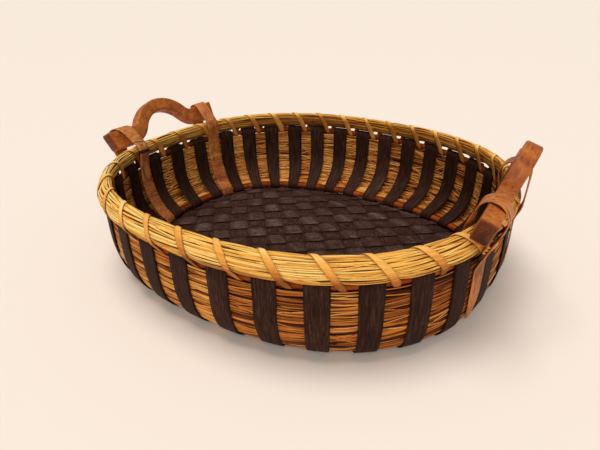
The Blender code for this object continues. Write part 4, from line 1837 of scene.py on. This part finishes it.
@dataclass(frozen=True)
class Grips:
    """The two bent wood handles that stand on the rim."""

    oval: Oval
    length: float = 0.178
    thickness: float = 0.0150
    foot_height: float = 0.0220
    arch_depth: float = 0.0160
    fillet: float = 0.018
    end_slant: float = 0.004
    edge: float = 0.0019
    thinning: tuple[float, float] = (-0.016, 0.006)
    uneven: float = 0.03
    cap_size: float = 0.84
    cap_reach: float = 0.0012
    tone: float = 0.55
    tone_play: float = 0.12
    fillet_steps: int = 8
    arch_steps: int = 12
    half_points: int = 40
    flat_parts: tuple[float, ...] = (0.12, 0.5, 0.88)
    seed: int = 31

    def frame(self, handle: Handle) -> Matrix:
        """The handle's place: its axes along the feet, up, and outwards, leaning.

        Args:
            handle: which handle.

        Returns:
            The matrix from the handle's axes to the world's.
        """
        out_x, out_y = self.oval.at(handle.share)[2:]
        turned = Matrix.Rotation(handle.turn, 3, "Z")
        along, outwards = turned @ Vector((-out_y, out_x, 0)), turned @ Vector((out_x, out_y, 0))
        axes = Matrix((along, Vector((0, 0, 1)), outwards))
        lean = Matrix.Rotation(handle.lean, 4, "X")
        return Matrix.Translation(Vector(handle.foot)) @ axes.transposed().to_4x4() @ lean

    def line(self, handle: Handle) -> tuple[np.ndarray, np.ndarray]:
        """A handle's middle line.

        Args:
            handle: which handle.

        Returns:
            Rows of (along, up), and the wood's height square to the line at each.
        """
        span, rise = handle.half_span, handle.rise
        bend = 2 * math.atan(rise / span)
        radius = span / math.sin(bend) - self.fillet
        foot = np.array([[self.length / 2 - self.end_slant / 2, 0.0], [span, 0.0]])
        fillet = arc((span, self.fillet), self.fillet, -math.pi / 2, -math.pi / 2 - bend, self.fillet_steps)
        top = arc((0, rise - radius), radius, math.pi / 2 - bend, math.pi / 2, self.arch_steps)
        half = evened(np.concatenate([foot, fillet[1:], top[1:]]), self.half_points)
        line = softened(np.concatenate([half, (half * [-1, 1])[-2::-1]]), 3)
        blend = slope(np.abs(line[:, 0]) - span, *self.thinning)
        blend = blend * blend * (3 - 2 * blend)
        return line, self.arch_depth + (self.foot_height - self.arch_depth) * blend

    def section(self, height: float) -> np.ndarray:
        """The rounded oblong section.

        Args:
            height: its height.

        Returns:
            Rows of (across the height, across the thickness).
        """
        half = np.array([height / 2 - self.edge, self.thickness / 2 - self.edge])
        corners = []
        for quarter, signs in enumerate(((1, 1), (-1, 1), (-1, -1), (1, -1))):
            start = math.pi / 2 * quarter
            corners.append(arc(half * signs, self.edge, start, start + math.pi / 2, 3))
        points = []
        for corner, after in zip(corners, corners[1:] + corners[:1]):
            between = [corner[-1] + (after[0] - corner[-1]) * part for part in self.flat_parts]
            points += [*corner, *between]
        return np.array(points)

    def rings(self, rng: np.random.Generator, handle: Handle) -> np.ndarray:
        """Cuts a handle, its ends eased and slanted and its faces a little uneven from the knife.

        Args:
            rng: the source of chance.
            handle: which handle.

        Returns:
            Its rings, in the handle's own axes.
        """
        line, heights = self.line(handle)
        uneven = 1 + self.uneven * sway(rng, np.linspace(0, 1, len(line)), 5, 1)
        slants = np.sign(line[:, 0]) * slope(np.abs(line[:, 0]), handle.half_span, self.length / 2)
        rings = []
        for place, normal, height, slant in zip(line, line_normals(line), heights * uneven, slants):
            section = self.section(float(height))
            flat = place - normal * section[:, :1]
            flat[:, 0] += slant * self.end_slant * (flat[:, 1] - place[1]) / self.foot_height
            rings.append(np.concatenate([flat, section[:, 1:]], axis=1))
        return np.array([self.cap(rings[0], rings[1]), *rings, self.cap(rings[-1], rings[-2])])

    def cap(self, end: np.ndarray, inner: np.ndarray) -> np.ndarray:
        """A last ring, a little further out and smaller, that eases the edges of an end."""
        middle = end.mean(axis=0)
        return middle + (end - middle) * self.cap_size + unit(middle - inner.mean(axis=0)) * self.cap_reach

    def build(self, shop: Shop) -> None:
        """Builds both handles.

        Args:
            shop: fits the pieces.
        """
        rng = np.random.default_rng(self.seed)
        for side, handle in HANDLES.items():
            placed = np.array(self.frame(handle))
            world = self.rings(rng, handle) @ placed[:3, :3].T + placed[:3, 3]
            worn = self.tone + self.tone_play * sway(rng, np.linspace(0, 1, len(world)), 4)
            worn[[0, -1]] = 0.0
            sheaf = Sheaf().add(world, worn.clip(0, 1))
            shop.fit(sheaf, f"{side}_grip", HANDLE_WOOD, Slot.HANDLE, f"{side}_handle")


@dataclass(frozen=True)
class Straps:
    """The split wood straps that loop over the handles' feet and run down both sides of the wall.

    The foot is the end on the mat, which is wider and darker, and the tip the narrowed end outside. Their
    reaches are shares of the strap's length.
    """

    splints: Splints
    grips: Grips
    width: float = 0.0172
    thickness: float = 0.0018
    lashing_gap: float = 0.0007
    lashing_thickness: float = 0.0009
    spread: float = math.radians(25)
    end_height: float = 0.014
    handle_edge: float = 0.0018
    waver: float = 0.0003
    foot_widening: float = 0.26
    foot_reach: float = 0.36
    foot_power: float = 0.7
    tip_narrowing: float = 0.72
    tip_start: float = 0.90
    tip_power: float = 1.5
    # Each strap's tone is partly its own colour and partly painted light that lifts the left straps, which
    # stand in shade.
    shades: Mapping[str, float] = field(
        default_factory=lambda: {"left_front": 0.9, "left_back": 0.8, "right_front": 0.6, "right_back": 0.4}
    )
    foot_tone: float = 0.75
    foot_tone_reach: float = 0.34
    tone_play: float = 0.08
    eased: int = 460
    over_points: int = 90
    points: int = 96
    strip: Strip = Strip(6)
    seed: int = 41

    def foot(self, share: float, handle: Handle) -> tuple[np.ndarray, float]:
        """The round that stands for a handle's foot in a strap's plane.

        Args:
            share: where round the rim the strap runs.
            handle: its handle.

        Returns:
            The round's middle, as a flat point, and its radius.
        """
        frame = self.grips.frame(handle)
        start, along = frame.translation, frame.col[0].xyz
        x, y, out_x, out_y = self.splints.layout.oval.at(share)
        outwards, sideways, rim = Vector((out_x, out_y, 0)), Vector((-out_y, out_x, 0)), Vector((x, y, 0))
        crossing = start + along * (rim - start).dot(sideways) / along.dot(sideways)
        corner = math.hypot(self.grips.foot_height, self.grips.thickness) / 2 - self.handle_edge / 2
        radius = corner / abs(along.dot(sideways)) + self.splints.clearance + self.thickness / 2
        return np.array([(crossing - rim).dot(outwards), crossing.z]), radius

    def line(self, share: float, handle: Handle) -> np.ndarray:
        """A strap's middle line: up the inside, taut over the rim and the foot, and down the outside.

        Args:
            share: where round the rim it runs.
            handle: its handle.

        Returns:
            Rows of flat points.
        """
        wall = self.splints.wall
        distance = self.splints.distance(self.thickness, self.lashing_gap + self.lashing_thickness)
        grow = 2 * self.lashing_gap + self.lashing_thickness + self.splints.clearance + self.thickness / 2
        turns = np.linspace(math.pi + self.spread, -self.spread, self.over_points)
        over = self.splints.band.points(turns, grow, self.foot(share, handle))
        fall = 1 / math.tan(self.spread)
        inner = over[0, 1] - max(0.0, -distance - wall.inset - over[0, 0]) * fall
        outer = over[-1, 1] - max(0.0, over[-1, 0] - distance + wall.inset) * fall
        inside = self.splints.inner_leg(share, distance, inner, self.eased)
        outside = self.splints.outer_leg(share, distance, outer, wall.rise_to(share, self.end_height))
        return softened(evened(np.concatenate([inside, over, outside]), self.points), 2)

    def build(self, shop: Shop) -> None:
        """Builds the four straps.

        Args:
            shop: fits the pieces.
        """
        rng = np.random.default_rng(self.seed)
        along = np.linspace(0, 1, self.points)
        foot = 1 + self.foot_widening * slope(along, self.foot_reach, 0.0) ** self.foot_power
        tip = 1 - self.tip_narrowing * slope(along, self.tip_start, 1.0) ** self.tip_power
        widths = self.width * foot * tip
        darker = self.foot_tone * slope(along, self.foot_tone_reach, 0.0)
        for side, handle in HANDLES.items():
            for away in (-1, 1):
                share = self.splints.layout.strap(handle, away)
                end = "back" if self.splints.layout.oval.at(share)[1] > 0 else "front"
                line_at = partial(self.line, handle=handle)
                rings = self.splints.bent(rng, share, line_at, widths, self.thickness, self.strip, self.waver)
                tone = self.shades[f"{side}_{end}"] - darker + self.tone_play * sway(rng, along, 5)
                sheaf = Sheaf().add(rings, tone.clip(0, 1))
                shop.fit(sheaf, f"{side}_{end}_loop", STRAP_WOOD, Slot.STRAP, f"{side}_{end}_strap")


@dataclass(frozen=True)
class Tie:
    """A cord or strip wound round a strap, at a share of the strap's length."""

    side: str
    away: int
    place: float
    turns: float
    radius: float
    spacing: float
    slant: float
    flatness: float = 1.0


TIES: Mapping[str, tuple[Tie, PlantFinish, Slot]] = {
    "left_thread": (Tie("left", 1, 0.425, 1.15, 0.00050, 0.0016, 0.0045), PALE_THREAD, Slot.LASHING),
    "left_cord": (Tie("left", 1, 0.372, 2.6, 0.00085, 0.0019, 0.0015), DARK_CORD, Slot.SPLINT),
    "right_cord": (Tie("right", -1, 0.640, 3.1, 0.00095, 0.0019, -0.0012), DARK_CORD, Slot.SPLINT),
    "right_binding": (Tie("right", -1, 0.690, 3.0, 0.0017, 0.0036, 0.002, 0.30), LASHING_STRIP, Slot.LASHING),
    "right_far_cord": (Tie("right", 1, 0.375, 2.4, 0.00085, 0.0019, 0.0014), DARK_CORD, Slot.SPLINT),
}


@dataclass(frozen=True)
class Ties:
    """The cords that hold the straps to the rim."""

    straps: Straps
    squareness: float = 3
    per_turn: int = 26
    sides: int = 8
    waver: float = 0.0003
    ends: float = 0.12
    full: float = 0.8
    tone: float = 0.6
    seed: int = 53

    def rings(self, rng: np.random.Generator, tie: Tie) -> np.ndarray:
        """Winds one tie.

        Args:
            rng: the source of chance.
            tie: where and how it is wound.

        Returns:
            An array of rings.
        """
        handle, layout = HANDLES[tie.side], self.straps.splints.layout
        share = layout.strap(handle, tie.away)
        line = self.straps.line(share, handle)
        reached = walked(line)
        turns = np.linspace(0, TURN * tie.turns, round(self.per_turn * tie.turns))
        cosine, sine = np.cos(turns), np.sin(turns)
        reach = np.abs(cosine) ** self.squareness + np.abs(sine) ** self.squareness
        square = reach ** (-1 / self.squareness)
        deep = tie.radius * tie.flatness
        aside = (self.straps.width / 2 + deep) * cosine * square
        lift = (self.straps.thickness / 2 + deep) * sine * square
        along = tie.place * reached[-1] + tie.spacing * turns / TURN + tie.slant * cosine / 2
        along = along + self.waver * sway(rng, turns / turns[-1], 6)
        middle = read_off(along, reached, line)
        flat = middle + read_off(along, reached, -line_normals(line)) * lift[:, None]
        path = layout.oval.place(share + aside / layout.oval.round, flat)
        run = unit(np.gradient(path, axis=0))
        out = path - layout.oval.place(share, middle)
        out = unit(out - (out * run).sum(axis=1, keepdims=True) * run)
        taper = np.sin(math.pi * np.linspace(self.ends, 1 - self.ends, len(turns)))
        taper = taper.clip(0, self.full) / self.full
        section = pointing(-clockwise(self.sides)) * [deep, tie.radius]
        return path[:, None] + taper[:, None, None] * (section @ np.stack([out, np.cross(run, out)], axis=1))

    def build(self, shop: Shop) -> None:
        """Builds every tie.

        Args:
            shop: fits the pieces.
        """
        rng = np.random.default_rng(self.seed)
        for name, (tie, finish, slot) in TIES.items():
            shop.fit(Sheaf().add(self.rings(rng, tie), self.tone), name, finish, slot)


@dataclass(frozen=True)
class Studio:
    """The plain floor, the soft lights, and the camera at the photograph's angle.

    The camera's distance and aim are in rim lengths, and its focal length in the picture's pixels.
    """

    elevation: float = math.radians(27.0445)
    azimuth: float = math.radians(-36.4336)
    distance: float = 1.406702
    aim: tuple[float, float] = (-0.013958, 0.050662)
    roll: float = math.radians(1.2285)
    focal: float = 503.438
    image_width: int = 600
    rim_length: float = 0.430
    sensor_width: float = 36
    floor_colour: Colour = (0.92, 0.81, 0.705)
    floor_roughness: float = 0.9
    floor_reach: float = 40.0
    floor_height: float = -0.0002
    backdrop: Colour = (0.965, 0.842, 0.725)
    light_colour: Colour = (1.0, 0.985, 0.965)
    sky: float = 0.31

    def turned(self, across: float, away: float, up: float) -> Vector:
        """A point given by the camera's own bearings, in the scene's metres."""
        cosine, sine = math.cos(self.azimuth), math.sin(self.azimuth)
        return Vector((cosine * across + sine * away, -sine * across + cosine * away, up)) * self.rim_length

    def add_camera(self) -> None:
        """Adds the camera."""
        aside, along = self.aim
        cosine, sine = math.cos(self.elevation), math.sin(self.elevation)
        target = self.turned(aside, along * sine, along * cosine)
        behind, above = self.distance * cosine, self.distance * sine
        place = self.turned(aside, along * sine - behind, along * cosine + above)
        data = bpy.data.cameras.new("photograph view")
        data.sensor_width = self.sensor_width
        data.lens = self.focal / self.image_width * data.sensor_width
        data.clip_start = 0.01
        camera = shown("photograph view", data)
        aimed = (target - place).to_track_quat("-Z", "Y").to_matrix().to_4x4()
        camera.matrix_world = Matrix.Translation(place) @ aimed @ Matrix.Rotation(-self.roll, 4, "Z")
        bpy.context.scene.camera = camera

    def add_floor(self) -> None:
        """Adds the plain floor."""
        bench = Bench(bpy.data.materials.new("plain floor"), "Principled BSDF")
        bench.shader.inputs["Base Color"].default_value = (*self.floor_colour, 1)
        bench.shader.inputs["Roughness"].default_value = self.floor_roughness
        mesh = bpy.data.meshes.new("plain floor")
        square = ((-1, -1), (1, -1), (1, 1), (-1, 1))
        corners = [(x * self.floor_reach, y * self.floor_reach, 0) for x, y in square]
        mesh.from_pydata(corners, [], [(0, 1, 2, 3)])
        mesh.materials.append(bench.owner)
        floor = shown("plain_floor", mesh)
        floor.location.z = self.floor_height

    def add_sun(self, name: str, towards: Colour, strength: float, softness: float) -> None:
        """Adds an even light from far away.

        Args:
            name: its name.
            towards: the direction in which it stands.
            strength: its strength.
            softness: the angle over which it spreads, in degrees.
        """
        data = bpy.data.lights.new(name, "SUN")
        data.energy = strength
        data.angle = math.radians(softness)
        data.color = self.light_colour
        shown(name, data).rotation_euler = (-Vector(towards)).to_track_quat("-Z", "Y").to_euler()

    def add_world(self) -> None:
        """Adds an even sky, as pale as the floor to the camera."""
        world = bpy.data.worlds.new("studio")
        bench = Bench(world, "Background")
        bench.shader.inputs["Color"].default_value = (*self.light_colour, 1)
        bench.shader.inputs["Strength"].default_value = self.sky
        seen = bench.add("ShaderNodeLightPath", output="Is Camera Ray")
        pale = bench.add("ShaderNodeBackground", sockets={"Color": (*self.backdrop, 1)})
        lit = Wire(bench, bench.shader.outputs[0])
        mixed = bench.add("ShaderNodeMixShader", sockets={0: seen, 1: lit, 2: pale})
        bench.feed(bench.tree.nodes["World Output"].inputs["Surface"], mixed)
        bpy.context.scene.world = world

    def build(self) -> None:
        """Builds the whole studio."""
        bpy.context.scene.view_settings.view_transform = "Standard"
        self.add_camera()
        self.add_floor()
        self.add_world()
        self.add_sun("overhead", (-0.12, -0.06, 1.0), 1.75, 34)
        self.add_sun("front", (0.55, -0.90, 0.80), 1.05, 30)


def main() -> None:
    """Builds everything round the frame and reports each piece."""
    logging.basicConfig(level=logging.INFO, format="%(name)s: %(message)s")
    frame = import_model()
    LOG.info("frame of %d solids", len(frame["nodes"]))
    Studio().build()
    oval, bundle, shop = Oval(), Bundle(), Shop()
    layout, wall = Layout(oval), Wall(oval)
    band = Band(bundle, wall)
    splints, lashing, grips = Splints(wall, layout, band), Lashing(band, layout), Grips(oval)
    StrawWall(wall, layout).build(shop)
    Hoops(wall, layout).build(shop)
    Stakes(splints).build(shop)
    WovenFloor(wall).build(shop)
    RimBundle(bundle, layout, lashing).build(shop)
    lashing.build(shop)
    grips.build(shop)
    straps = Straps(splints, grips)
    straps.build(shop)
    Ties(straps).build(shop)


if __name__ == "__main__":
    main()
